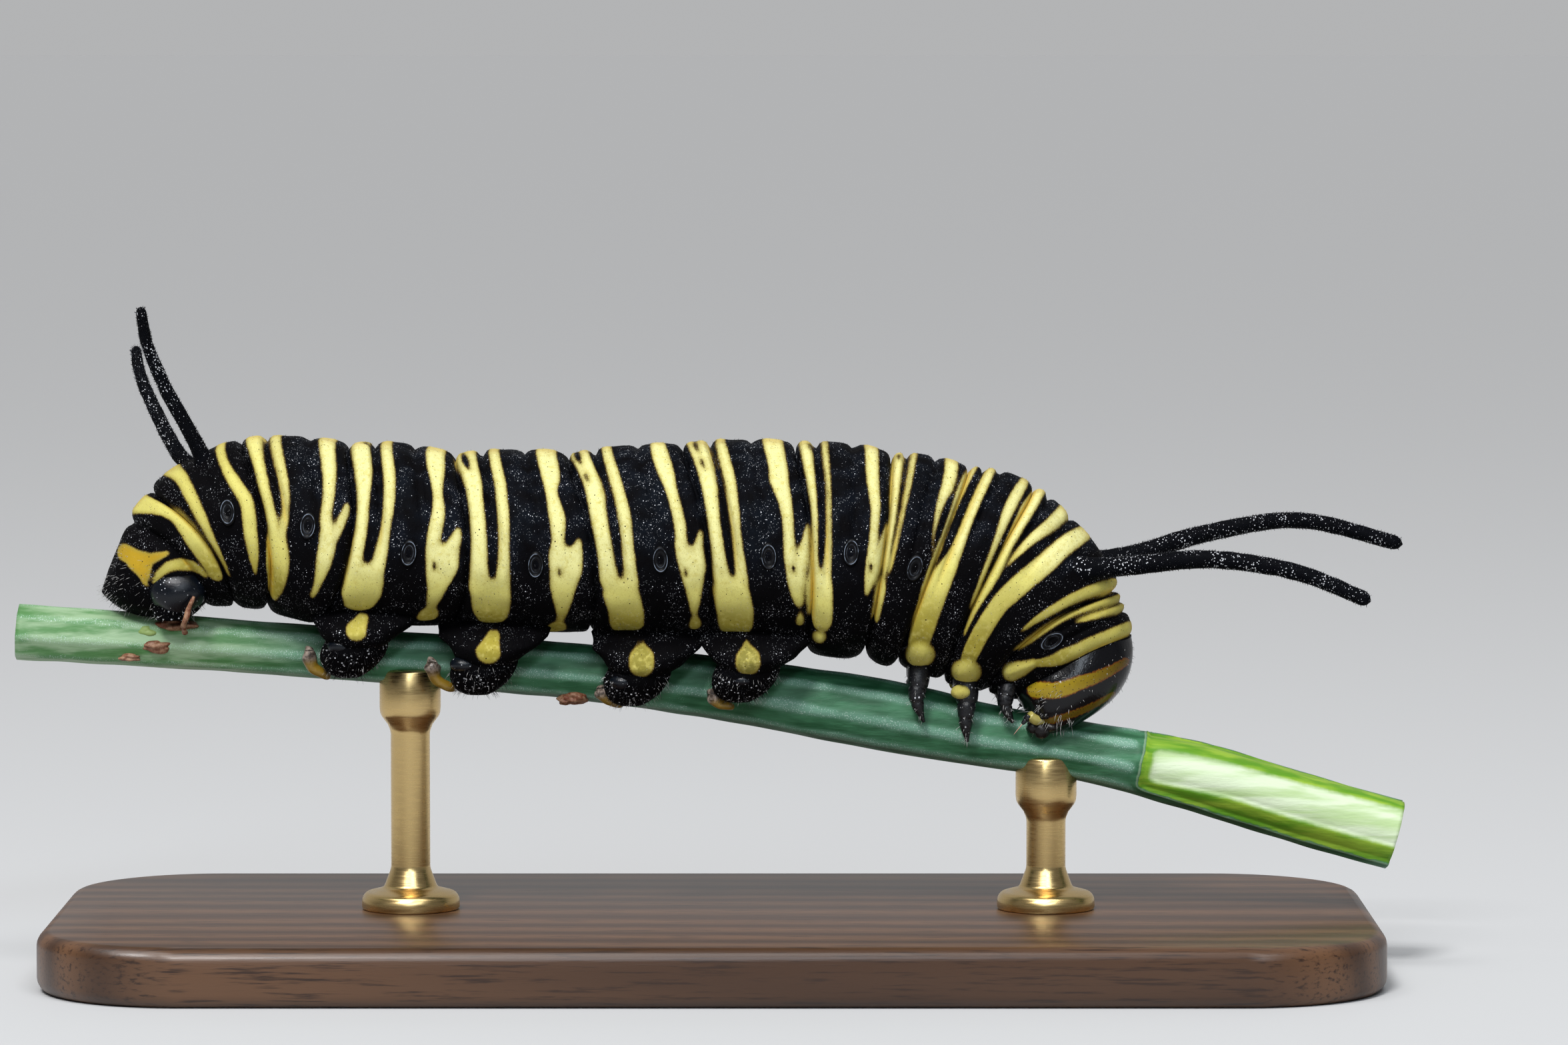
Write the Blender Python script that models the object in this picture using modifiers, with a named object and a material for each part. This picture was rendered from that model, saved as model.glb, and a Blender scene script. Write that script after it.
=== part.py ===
"""A full-grown larva of the monarch butterfly, at life size, gripping a cut length of stem on a stand.

The larva faces +X with its back towards +Z, so its right side faces -Y. The origin is the middle of the
stand base's underside. Sizes here are in millimetres, and each mesh is scaled to metres when it is made.
"""

import math
from collections import namedtuple

import bmesh
import bpy
from mathutils import Matrix, Vector

METRES = 0.001
GAP = 0.3                       # kept between neighbouring pieces
RIGHT, LEFT = -1, 1             # sides of the body, as signs of Y

# The trunk is a row of slanted sections. A fold is the narrow section between two segments: its top and bottom
# as (x, z), half its width, and how far its sides lie ahead of the straight line from top to bottom.
Section = namedtuple("Section", "top bottom half_width bow")


def fold(top, bottom, half_width, bow):
    return Section(Vector((top[0], 0, top[1])), Vector((bottom[0], 0, bottom[1])), half_width, bow)


FOLDS = [
    fold((-23.75, 18.45), (-20.70, 14.90), 2.50, 0.80),
    fold((-22.82, 19.51), (-19.50, 14.95), 2.90, 0.80),
    fold((-19.26, 21.41), (-18.20, 14.90), 3.50, 0.75),
    fold((-14.91, 21.25), (-16.05, 14.42), 3.85, 0.95),
    fold((-10.53, 20.82), (-10.61, 14.15), 3.90, 0.74),
    fold((-5.93, 20.87), (-5.03, 13.88), 3.95, 0.64),
    fold((-1.28, 21.28), (-0.22, 13.74), 3.95, 0.58),
    fold((3.32, 21.31), (3.73, 13.42), 3.90, 0.48),
    fold((7.26, 20.90), (6.17, 13.25), 3.80, 0.17),
    fold((10.39, 20.33), (7.48, 12.66), 3.60, -0.11),
    fold((13.00, 19.46), (9.38, 11.98), 3.30, -0.34),
    fold((16.32, 15.48), (11.15, 11.43), 2.75, -0.79),
    fold((17.05, 13.66), (12.65, 11.02), 2.05, -0.47),
]

# Each segment lies between two folds, and swells beyond them on its back and on its belly
SEGMENTS = [
    ("abdomen_9", 0.15, 0.10),
    ("abdomen_8", 0.46, 0.15),
    ("abdomen_7", 0.40, 0.30),
    ("abdomen_6", 0.36, 0.10),
    ("abdomen_5", 0.34, 0.10),
    ("abdomen_4", 0.28, 0.10),
    ("abdomen_3", 0.28, 0.10),
    ("abdomen_2", 0.34, 0.55),
    ("abdomen_1", 0.30, 0.40),
    ("thorax_3", 0.42, 0.15),
    ("thorax_2", 0.60, 0.15),
    ("thorax_1", 0.12, 0.10),
]

# Rings of raised skin round a segment: places along it, and the share of the swell that each has
ANNULETS = [
    (0.00, 0.00), (0.07, 0.65), (0.15, 0.90), (0.25, 0.55), (0.35, 1.00), (0.48, 0.85), (0.62, 0.30),
    (0.72, 0.90), (0.82, 1.00), (0.93, 0.65), (1.00, 0.00),
]
TRUNK_SIDES = 24
BELLY_FULLNESS = 2.5           # of the lower half of each section, where 2 is an ellipse
SHARP_ANGLE = math.radians(38)  # edges sharper than this stay sharp where faces are shaded smooth

# Both ends of the body are blunt domes on the first and the last fold: reach out from the fold, lean towards
# the back, turn towards the left side, and fullness of back and belly, where 1 is a cone and 2 an ellipse
Dome = namedtuple("Dome", "reach lean turn back_fullness belly_fullness")
TAIL_END = Dome(reach=-2.90, lean=0.84, turn=0.0, back_fullness=1.05, belly_fullness=2.4)
HEAD = Dome(reach=1.95, lean=-0.80, turn=-0.70, back_fullness=2.7, belly_fullness=2.6)
DOME_STEPS = 8

# Tentacles are the soft black filaments on the second thorax segment and on abdomen segment 8. Each is a line
# through five places from inside its segment out to its tip.
TENTACLES = {
    "tentacle_front_right": [(14.1, -1.2, 16.1), (16.9, -2.0, 16.65), (20.2, -2.7, 16.95),
                             (23.6, -3.2, 16.45), (26.55, -3.4, 15.3)],
    "tentacle_front_left": [(14.1, 1.2, 15.9), (17.1, 2.2, 16.75), (20.3, 3.0, 17.60),
                            (24.2, 3.5, 18.1), (28.45, 3.6, 17.1)],
    "tentacle_rear_right": [(-20.2, -0.9, 19.9), (-21.15, -1.3, 21.9), (-22.15, -1.7, 23.8),
                            (-22.85, -2.1, 25.6), (-23.1, -2.4, 27.15)],
    "tentacle_rear_left": [(-20.5, 0.9, 19.7), (-22.0, 1.9, 21.0), (-23.05, 3.2, 22.7),
                           (-23.75, 4.3, 24.1), (-24.0, 4.9, 25.25)],
}
FRONT_TENTACLE_RADII = (0.44, 0.32)      # at the root and near the tip
REAR_TENTACLE_RADII = (0.35, 0.22)
TENTACLE_STEPS = 12
TUBE_RESOLUTION = 3                      # ten sides

# Jointed legs of the thorax: places of the root, the knees and the claw on the left side, and radii there
LEGS = {
    1: [(12.00, 1.05, 12.40), (11.90, 1.55, 11.45), (12.05, 1.75, 10.80), (12.30, 1.75, 10.15)],
    2: [(10.10, 1.30, 12.60), (10.15, 1.75, 11.30), (10.28, 1.90, 10.40), (10.44, 1.90, 9.45)],
    3: [(8.40, 1.40, 13.20), (8.30, 1.80, 11.95), (8.45, 1.95, 11.15), (8.66, 1.95, 10.25)],
}
LEG_RADII = (0.62, 0.50, 0.36, 0.13)
LEG_STEPS = 8

# Prolegs are fleshy stumps below abdomen segments 3 to 6: the middle of each one's upper lobe as (x, z), and
# its shape from there as (ahead, from the middle plane, above, half length, half thickness)
PROLEGS = {3: (1.55, 13.20), 4: (-2.85, 13.05), 5: (-9.05, 13.50), 6: (-14.30, 14.20)}
PROLEG_SHAPE = [
    (0.30, 2.00, 1.90, 1.75, 1.20),
    (0.15, 2.50, 0.70, 1.85, 1.15),
    (0.05, 2.75, -0.10, 1.75, 1.05),
    (-0.10, 2.65, -0.75, 1.45, 0.95),
    (-0.40, 2.45, -1.25, 1.35, 0.85),
    (-0.55, 2.30, -1.70, 1.00, 0.70),
    (-0.50, 2.20, -2.05, 0.50, 0.40),
]
ANAL_PROLEG = (-21.40, 15.70)
ANAL_PROLEG_SHAPE = [
    (0.30, 1.30, 1.30, 1.10, 0.80),
    (0.10, 1.75, 0.50, 1.10, 0.65),
    (-0.15, 1.90, -0.30, 1.00, 0.55),
    (-0.45, 1.80, -0.90, 0.90, 0.45),
    (-0.60, 1.70, -1.35, 0.50, 0.30),
]
PROLEG_SIDES = 12

# Parts of the head, on its right side or in its turned middle plane
MOUTH_PLACE = (13.50, -1.25, 9.95)
MOUTH_RADII = (0.60, 0.75, 0.50)
ANTENNA_RIGHT = [(13.20, -1.60, 10.85), (12.60, -1.95, 10.45), (12.30, -2.05, 9.95)]
ANTENNA_LEFT = [(13.40, 0.30, 11.10), (12.75, 0.75, 10.95), (12.15, 0.95, 10.80)]
ANTENNA_RADII = (0.27, 0.25, 0.18)
# Each side's six simple eyes stand in an arc low on the cheek: its middle as a share of the head's reach and an
# angle round the head from its crown, and its radius in the same terms
EYE_COUNT = 6
EYE_RADIUS = 0.17
EYE_ARC_MIDDLE = (0.42, 130)
EYE_ARC_RADIUS = (0.16, 8)
EYE_ARC_STEP = 42

# The stem: places along its middle as (x, z), and its radius there
STEM = [
    ((-28.4, 13.78), 1.14), ((-22.0, 13.38), 1.09), ((-14.0, 12.80), 1.07), ((-6.3, 12.22), 1.14),
    ((0.0, 11.50), 1.28), ((5.0, 10.70), 1.42), ((8.0, 10.17), 1.44), ((11.0, 9.55), 1.30),
    ((15.0, 8.90), 1.21), ((19.5, 7.93), 1.44), ((24.0, 6.60), 1.50), ((27.9, 5.50), 1.50),
]
STEM_STEPS = 30
STEM_SIDES = 16
# Leaf scar near the stem's rear end and a broken side shoot below it: place and radii
STEM_LUMPS = [
    ((-22.9, -0.15, 14.25), (0.75, 0.70, 0.42)),
    ((-21.6, -0.55, 14.10), (0.90, 0.45, 0.50)),
    ((-5.75, -0.55, 11.20), (0.60, 0.45, 0.40)),
]

# Stand
BASE_SIZE = (54.0, 25.0, 2.4)
BASE_CORNER = 6.0
BASE_EDGE = 0.6
ROD_PLACES = {"stand_rod_rear": -12.4, "stand_rod_front": 13.6}
ROD_RADIUS = 0.80
COLLAR_RADIUS, COLLAR_HEIGHT = 2.00, 0.70
CRADLE_RADIUS, CRADLE_HEIGHT = 1.25, 2.00
ROD_SIDES = 20

# Colours as (red, green, blue), then roughness and metallic value
FINISHES = {
    "skin": ((0.030, 0.026, 0.024), 0.55, 0.0),
    "capsule": ((0.012, 0.011, 0.012), 0.25, 0.0),
    "foot": ((0.020, 0.018, 0.022), 0.35, 0.0),
    "stem": ((0.060, 0.140, 0.060), 0.50, 0.0),
    "wood": ((0.090, 0.045, 0.022), 0.40, 0.0),
    "brass": ((0.720, 0.500, 0.200), 0.30, 1.0),
}


def between(rear, front, share):
    """The section a share of the way from one section to the next."""
    return Section(*(a + (b - a) * share for a, b in zip(rear, front)))


def upward(section):
    return (section.top - section.bottom).normalized()


def forward(section):
    """The way to the head, square to the line from a section's bottom to its top."""
    up = upward(section)
    return Vector((up.z, 0, -up.x))


def middle(section):
    return (section.top + section.bottom) / 2


def shifted(section, distance):
    step = forward(section) * distance
    return section._replace(top=section.top + step, bottom=section.bottom + step)


def rim_point(section, angle, back=0.0, belly=0.0):
    """The point at an angle from a section's top, down its right side, swollen on its back and its belly."""
    rise, side = math.cos(angle), math.sin(angle)
    if rise < 0:
        rise, side = (math.copysign(abs(value) ** (2 / BELLY_FULLNESS), value) for value in (rise, side))
    half_height = (section.top - section.bottom).length / 2 + (back if rise > 0 else belly)
    point = middle(section) + upward(section) * half_height * rise + forward(section) * section.bow * side ** 2
    point.y += RIGHT * (section.half_width + (back + belly) / 2) * side
    return point


def ring(section, back, belly):
    return [rim_point(section, math.tau * i / TRUNK_SIDES, back, belly) for i in range(TRUNK_SIDES)]


def segment_rings(rear, front, back, belly, clearance):
    """Rings along one segment, with its annulets, grown outwards by a clearance."""
    rings = []
    for place, share in ANNULETS:
        section = between(rear, front, place)
        rings.append(ring(section, back * share + clearance, belly * share + clearance))
    return rings


def dome_section(base, dome, share):
    """The section of a blunt end at a share of its reach from its fold."""
    up = upward(base)
    half_height = (base.top - base.bottom).length / 2
    out = forward(base) * dome.reach + up * dome.lean + Vector((0, dome.turn, 0))
    centre = middle(base) + out * share
    back, belly = ((1 - share ** fullness) ** (1 / fullness)
                   for fullness in (dome.back_fullness, dome.belly_fullness))
    return Section(centre + up * half_height * back, centre - up * half_height * belly,
                   base.half_width * belly, base.bow * belly ** 2)


def dome_rings(base, dome, clearance):
    """Rings from a fold out to a blunt end, and the end's own point, grown outwards by a clearance."""
    step = math.copysign(clearance, dome.reach)
    rings = []
    for i in range(DOME_STEPS):
        section = dome_section(base, dome, math.sin(math.radians(90) * i / DOME_STEPS))
        rings.append(ring(shifted(section, step), clearance, clearance))
    return rings, middle(dome_section(base, dome, 1)) + forward(base) * step


def face_out(body):
    """Points a closed body's faces outwards."""
    bmesh.ops.recalc_face_normals(body, faces=body.faces)
    if body.calc_volume(signed=True) < 0:
        bmesh.ops.reverse_faces(body, faces=body.faces)


def loft(rings, start, end):
    """A closed body through rings of equally many points, closed by fans to its start and end points."""
    body = bmesh.new()
    rows = [[body.verts.new(point) for point in points] for points in rings]
    count = len(rings[0])
    for row, following in zip(rows, rows[1:]):
        for i in range(count):
            j = (i + 1) % count
            body.faces.new((row[i], row[j], following[j], following[i]))
    for row, tip in ((rows[0], start), (rows[-1], end)):
        tip = body.verts.new(tip)
        for i in range(count):
            body.faces.new((row[i], row[(i + 1) % count], tip))
    face_out(body)
    return body


def oval(centre, half_length, half_thickness, sides):
    """A level ring, long in X."""
    return [Vector((centre[0] + half_length * math.cos(math.tau * i / sides),
                    centre[1] + half_thickness * math.sin(math.tau * i / sides), centre[2]))
            for i in range(sides)]


def smooth_line(points, steps):
    """Points evenly spread along a Catmull-Rom line through the given points, of any number of values."""
    padded = [2 * points[0] - points[1], *points, 2 * points[-1] - points[-2]]
    line = []
    for step in range(steps + 1):
        place = step / steps * (len(points) - 1)
        i = min(int(place), len(points) - 2)
        a, b, c, d = padded[i:i + 4]
        t = place - i
        line.append(0.5 * (2 * b + (c - a) * t + (2 * a - 5 * b + 4 * c - d) * t ** 2
                           + (3 * b - a - 3 * c + d) * t ** 3))
    return line


def collection(name):
    made = bpy.data.collections.new(name)
    bpy.context.scene.collection.children.link(made)
    return made


def finish(name, kind):
    """The node's own material."""
    colour, roughness, metallic = FINISHES[kind]
    material = bpy.data.materials.new(name)
    material.use_nodes = True
    shader = material.node_tree.nodes["Principled BSDF"]
    shader.inputs["Base Color"].default_value = (*colour, 1)
    shader.inputs["Roughness"].default_value = roughness
    shader.inputs["Metallic"].default_value = metallic
    return material


def add_object(name, body, group, origin=None):
    """An object of a body in millimetres, with its origin in the body's middle where none is given."""
    if origin is None:
        low, high = ([reach(vert.co[i] for vert in body.verts) for i in range(3)] for reach in (min, max))
        origin = (Vector(low) + Vector(high)) / 2
    bmesh.ops.transform(body, matrix=Matrix.Scale(METRES, 4) @ Matrix.Translation(-origin), verts=body.verts)
    mesh = bpy.data.meshes.new(name)
    body.to_mesh(mesh)
    body.free()
    piece = bpy.data.objects.new(name, mesh)
    piece.location = origin * METRES
    group.objects.link(piece)
    return piece


def add_cutter(name, body):
    cutter = add_object(name, body, cutters)
    cutter.hide_render = True
    cutter.display_type = "WIRE"
    return cutter


def add_node(name, body, kind, origin=None):
    piece = add_object(name, body, parts, origin)
    piece.data.materials.append(finish(name, kind))
    piece.parent = root
    return piece


def tube(line, radii):
    """A closed tube along a line, whose radius follows the given radii, as a body in millimetres."""
    curve = bpy.data.curves.new("tube", "CURVE")
    curve.dimensions = "3D"
    curve.bevel_depth = 1.0
    curve.bevel_resolution = TUBE_RESOLUTION
    curve.use_fill_caps = True
    spline = curve.splines.new("POLY")
    spline.points.add(len(line) - 1)
    for point, place, radius in zip(spline.points, line, radii):
        point.co = (*place, 1)
        point.radius = radius
    guide = bpy.data.objects.new("tube", curve)
    cutters.objects.link(guide)
    evaluated = guide.evaluated_get(bpy.context.evaluated_depsgraph_get())
    mesh = bpy.data.meshes.new_from_object(evaluated)
    body = bmesh.new()
    body.from_mesh(mesh)
    bmesh.ops.remove_doubles(body, verts=body.verts, dist=0.001)
    face_out(body)
    bpy.data.objects.remove(guide)
    bpy.data.meshes.remove(mesh)
    return body


def ball(centre, radii, segments, rows):
    body = bmesh.new()
    bmesh.ops.create_uvsphere(body, u_segments=segments, v_segments=rows, radius=1)
    bmesh.ops.transform(body, matrix=Matrix.Translation(centre) @ Matrix.Diagonal((*radii, 1)),
                        verts=body.verts)
    return body


def keep_largest(body):
    """Removes every closed surface but the one of the largest area."""
    islands = []
    seen = set()
    for face in body.faces:
        if face in seen:
            continue
        island = {face}
        reached = [face]
        while reached:
            for edge in reached.pop().edges:
                for neighbour in edge.link_faces:
                    if neighbour not in island:
                        island.add(neighbour)
                        reached.append(neighbour)
        seen |= island
        islands.append(island)
    islands.sort(key=lambda island: sum(face.calc_area() for face in island))
    for island in islands[:-1]:
        bmesh.ops.delete(body, geom=list(island), context="FACES")


def combine(piece, others, operation):
    """Applies one Boolean after another to a piece and keeps its largest closed surface."""
    for other in others:
        modifier = piece.modifiers.new(other.name, "BOOLEAN")
        modifier.operation = operation
        modifier.object = other
    bpy.context.view_layer.update()
    evaluated = piece.evaluated_get(bpy.context.evaluated_depsgraph_get())
    mesh = bpy.data.meshes.new_from_object(evaluated)
    body = bmesh.new()
    body.from_mesh(mesh)
    bpy.data.meshes.remove(mesh)
    keep_largest(body)
    face_out(body)
    piece.modifiers.clear()
    body.to_mesh(piece.data)
    body.free()


def fuse(piece, bodies):
    """Joins more bodies to a piece."""
    extras = [add_cutter(f"{piece.name}_extra", body) for body in bodies]
    combine(piece, extras, "UNION")
    for extra in extras:
        bpy.data.objects.remove(extra)


def build_trunk():
    """The segments, and a cutter of the whole trunk grown by the gap."""
    envelope, last_ring = [], None
    for (name, back, belly), rear, front in zip(SEGMENTS, FOLDS, FOLDS[1:]):
        rings = segment_rings(shifted(rear, GAP / 2), shifted(front, -GAP / 2), back, belly, 0)
        start, end = middle(shifted(rear, GAP / 2)), middle(shifted(front, -GAP / 2))
        add_node(name, loft(rings, start, end), "skin")
        grown = segment_rings(rear, front, back, belly, GAP)
        envelope += grown[:-1]
        last_ring = grown[-1]
    tail_rings, tail_tip = dome_rings(FOLDS[0], TAIL_END, GAP)
    envelope = [*reversed(tail_rings), *envelope[1:], last_ring]
    trunk = add_cutter("trunk_envelope", loft(envelope, tail_tip, middle(FOLDS[-1])))
    rings, tip = dome_rings(shifted(FOLDS[0], -GAP / 2), TAIL_END, 0)
    tail = add_node("abdomen_10", loft(rings, middle(shifted(FOLDS[0], -GAP / 2)), tip), "skin")
    return trunk, tail


def stem_body(clearance):
    """The stem as rings square to its middle line."""
    stations = smooth_line([Vector((x, z, radius)) for (x, z), radius in STEM], STEM_STEPS)
    rings = []
    for i, (x, z, radius) in enumerate(stations):
        rear, front = stations[max(i - 1, 0)], stations[min(i + 1, STEM_STEPS)]
        along = Vector((front[0] - rear[0], 0, front[1] - rear[1])).normalized()
        up = Vector((-along.z, 0, along.x))
        rings.append([Vector((x, 0, z)) + (up * math.cos(angle) + Vector((0, math.sin(angle), 0)))
                      * (radius + clearance)
                      for angle in (math.tau * k / STEM_SIDES for k in range(STEM_SIDES))])
    ends = [sum(ends_ring, Vector()) / STEM_SIDES for ends_ring in (rings[0], rings[-1])]
    return loft(rings, *ends)


def build_stem():
    stem = add_node("stem", stem_body(0), "stem")
    fuse(stem, [ball(place, radii, 12, 8) for place, radii in STEM_LUMPS])
    envelope = add_cutter("stem_envelope", stem_body(GAP))
    fuse(envelope, [ball(place, [r + GAP for r in radii], 12, 8) for place, radii in STEM_LUMPS])
    return envelope


def eye_places(base, side):
    """Where one side's simple eyes stand on the head."""
    places = []
    for i in range(EYE_COUNT):
        turn = math.radians(EYE_ARC_STEP * i)
        share = EYE_ARC_MIDDLE[0] + EYE_ARC_RADIUS[0] * math.cos(turn)
        angle = math.radians(EYE_ARC_MIDDLE[1] + EYE_ARC_RADIUS[1] * math.sin(turn))
        places.append(rim_point(dome_section(base, HEAD, share), -side * angle))
    return places


def build_eyes(head, base):
    """Each side's simple eyes, joined in a row that lies in a hollow of the cheek."""
    for side_name, side in (("right", RIGHT), ("left", LEFT)):
        places = eye_places(base, side)
        eyes = add_node(f"eyes_{side_name}", ball(places[0], [EYE_RADIUS] * 3, 10, 6), "capsule")
        fuse(eyes, [ball(place, [EYE_RADIUS] * 3, 10, 6) for place in places[1:]])
        hollow = add_cutter(f"eye_hollow_{side_name}", ball(places[0], [EYE_RADIUS + GAP] * 3, 10, 6))
        fuse(hollow, [ball(place, [EYE_RADIUS + GAP] * 3, 10, 6) for place in places[1:]])
        combine(head, [hollow], "DIFFERENCE")


def build_head(trunk, stem):
    """The head capsule, its mouthparts and feelers, all clear of the stem that it holds."""
    base = shifted(FOLDS[-1], GAP / 2)
    rings, tip = dome_rings(base, HEAD, 0)
    head = add_node("head", loft(rings, middle(base), tip), "capsule")
    combine(head, [stem], "DIFFERENCE")
    build_eyes(head, base)
    rings, tip = dome_rings(shifted(base, -GAP), HEAD, GAP)
    envelope = add_cutter("head_envelope", loft(rings, middle(shifted(base, -GAP)), tip))
    hollow = add_cutter("mouth_hollow", ball(MOUTH_PLACE, [radius + GAP for radius in MOUTH_RADII], 16, 10))
    combine(head, [hollow], "DIFFERENCE")
    mouth = add_node("mouthparts", ball(MOUTH_PLACE, MOUTH_RADII, 16, 10), "capsule")
    combine(mouth, [trunk, stem], "DIFFERENCE")
    for name, places in (("antenna_right", ANTENNA_RIGHT), ("antenna_left", ANTENNA_LEFT)):
        antenna = add_node(name, tube([Vector(place) for place in places], ANTENNA_RADII), "foot")
        combine(antenna, [envelope, hollow, trunk, stem], "DIFFERENCE")
    return envelope


def tentacle(name, places, radii, trunk):
    """A filament that tapers a little and has a round tip."""
    line = smooth_line([Vector(place) for place in places], TENTACLE_STEPS)
    root_radius, tip_radius = radii
    shares = [1 - (i / TENTACLE_STEPS) for i in range(TENTACLE_STEPS + 1)]
    widths = [tip_radius + (root_radius - tip_radius) * share for share in shares]
    end, inner = line[-1], line[-2]
    back = (inner - end).normalized()
    line[-1:] = [end + back * tip_radius * 0.55, end + back * tip_radius * 0.12]
    widths[-1:] = [tip_radius * 0.85, tip_radius * 0.35]
    piece = add_node(name, tube(line, widths), "foot")
    combine(piece, [trunk], "DIFFERENCE")


def leg(name, places, side, clear_of):
    """A jointed leg of three tapering lengths that end in a claw."""
    values = [Vector((x, side * y, z, radius)) for (x, y, z), radius in zip(places, LEG_RADII)]
    line = smooth_line(values, LEG_STEPS)
    piece = add_node(name, tube([value.to_3d() for value in line], [value.w for value in line]), "foot")
    combine(piece, clear_of, "DIFFERENCE")


def proleg(name, place, shape, side, clear_of):
    """A stump with a broad upper lobe and a foot that grips the stem's side."""
    centres = [(place[0] + ahead, side * out, place[1] + above) for ahead, out, above, _, _ in shape]
    rings = [oval(centre, length, thickness, PROLEG_SIDES)
             for centre, (_, _, _, length, thickness) in zip(centres, shape)]
    piece = add_node(name, loft(rings, Vector(centres[0]), Vector(centres[-1])), "foot")
    combine(piece, clear_of, "DIFFERENCE")


def build_limbs(trunk, head, stem):
    for side_name, side in (("right", RIGHT), ("left", LEFT)):
        for number, places in LEGS.items():
            leg(f"leg_{number}_{side_name}", places, side, [trunk, head, stem])
        for number, place in PROLEGS.items():
            proleg(f"proleg_{number}_{side_name}", place, PROLEG_SHAPE, side, [trunk, stem])
        proleg(f"proleg_anal_{side_name}", ANAL_PROLEG, ANAL_PROLEG_SHAPE, side, [trunk, stem])
    for name, places in TENTACLES.items():
        radii = FRONT_TENTACLE_RADII if "front" in name else REAR_TENTACLE_RADII
        tentacle(name, places, radii, trunk)


def build_base():
    """A rounded board, flat on its underside."""
    body = bmesh.new()
    bmesh.ops.create_cube(body, size=1)
    bmesh.ops.scale(body, vec=BASE_SIZE, verts=body.verts)
    bmesh.ops.translate(body, vec=(0, 0, BASE_SIZE[2] / 2), verts=body.verts)
    upright = [edge for edge in body.edges if abs(edge.verts[0].co.z - edge.verts[1].co.z) > GAP]
    bmesh.ops.bevel(body, geom=upright, offset=BASE_CORNER, segments=6, profile=0.5, affect="EDGES")
    rim = [edge for edge in body.edges if all(v.co.z > BASE_SIZE[2] - GAP for v in edge.verts)]
    bmesh.ops.bevel(body, geom=rim, offset=BASE_EDGE, segments=3, profile=0.5, affect="EDGES")
    add_node("stand_base", body, "wood")


def build_rod(name, x, stem):
    """A turned rod with a collar on the base and a cradle that the stem lies in."""
    rear, front = next(pair for pair in zip(STEM, STEM[1:]) if pair[1][0][0] >= x)
    share = (x - rear[0][0]) / (front[0][0] - rear[0][0])
    height = rear[0][1] + (front[0][1] - rear[0][1]) * share
    floor = BASE_SIZE[2] + GAP
    outline = [
        (0, height), (CRADLE_RADIUS, height), (CRADLE_RADIUS, height - CRADLE_HEIGHT),
        (ROD_RADIUS, height - 1.5 * CRADLE_HEIGHT), (ROD_RADIUS, floor + COLLAR_HEIGHT),
        (COLLAR_RADIUS - BASE_EDGE, floor + COLLAR_HEIGHT), (COLLAR_RADIUS, floor + COLLAR_HEIGHT / 2),
        (COLLAR_RADIUS, floor), (0, floor),
    ]
    body = bmesh.new()
    corners = [body.verts.new((x + radius, 0, z)) for radius, z in outline]
    for corner, following in zip(corners, corners[1:]):
        body.edges.new((corner, following))
    rod = add_node(name, body, "brass", Vector((x, 0, 0)))
    turn = rod.modifiers.new("turned", "SCREW")
    turn.steps = turn.render_steps = ROD_SIDES
    turn.use_merge_vertices = True
    turn.merge_threshold = GAP * METRES / 10
    combine(rod, [stem], "DIFFERENCE")


for item in list(bpy.data.objects):
    bpy.data.objects.remove(item)
parts = collection("larva_on_stem")
cutters = collection("cutters")
root = bpy.data.objects.new("larva_on_stem", None)
parts.objects.link(root)

stem_envelope = build_stem()
trunk_envelope, tail_segment = build_trunk()
combine(tail_segment, [stem_envelope], "DIFFERENCE")
head_envelope = build_head(trunk_envelope, stem_envelope)
build_limbs(trunk_envelope, head_envelope, stem_envelope)
build_base()
for rod_name, rod_x in ROD_PLACES.items():
    build_rod(rod_name, rod_x, stem_envelope)
for piece in parts.objects:
    if piece.type == "MESH":
        piece.data.shade_smooth()
        piece.data.set_sharp_from_angle(angle=SHARP_ANGLE)
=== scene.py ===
import math

import bpy
import numpy as np
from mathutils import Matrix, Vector


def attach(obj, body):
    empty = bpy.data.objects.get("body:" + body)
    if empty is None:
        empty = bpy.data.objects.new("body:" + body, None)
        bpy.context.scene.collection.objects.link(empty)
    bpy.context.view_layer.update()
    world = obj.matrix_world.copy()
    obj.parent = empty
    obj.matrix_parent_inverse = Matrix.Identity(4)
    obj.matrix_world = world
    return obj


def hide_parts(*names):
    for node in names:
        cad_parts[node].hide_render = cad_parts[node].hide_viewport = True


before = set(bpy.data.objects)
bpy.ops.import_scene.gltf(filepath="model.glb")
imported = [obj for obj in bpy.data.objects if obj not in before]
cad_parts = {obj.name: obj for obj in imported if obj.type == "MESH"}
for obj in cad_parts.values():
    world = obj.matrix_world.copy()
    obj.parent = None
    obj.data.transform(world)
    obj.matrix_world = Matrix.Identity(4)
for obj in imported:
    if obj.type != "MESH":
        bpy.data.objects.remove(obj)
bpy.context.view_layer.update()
bpy.ops.object.select_all(action="DESELECT")

# A larva of the monarch butterfly, gripping a cut stem on a stand, with its skin, bristles and finishes.
# Sizes are in millimetres. The larva faces +X and its right side faces -Y, towards the camera.
MM = 0.001
SIDES = (("right", -1), ("left", 1))


# Shapes that the solids share

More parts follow.
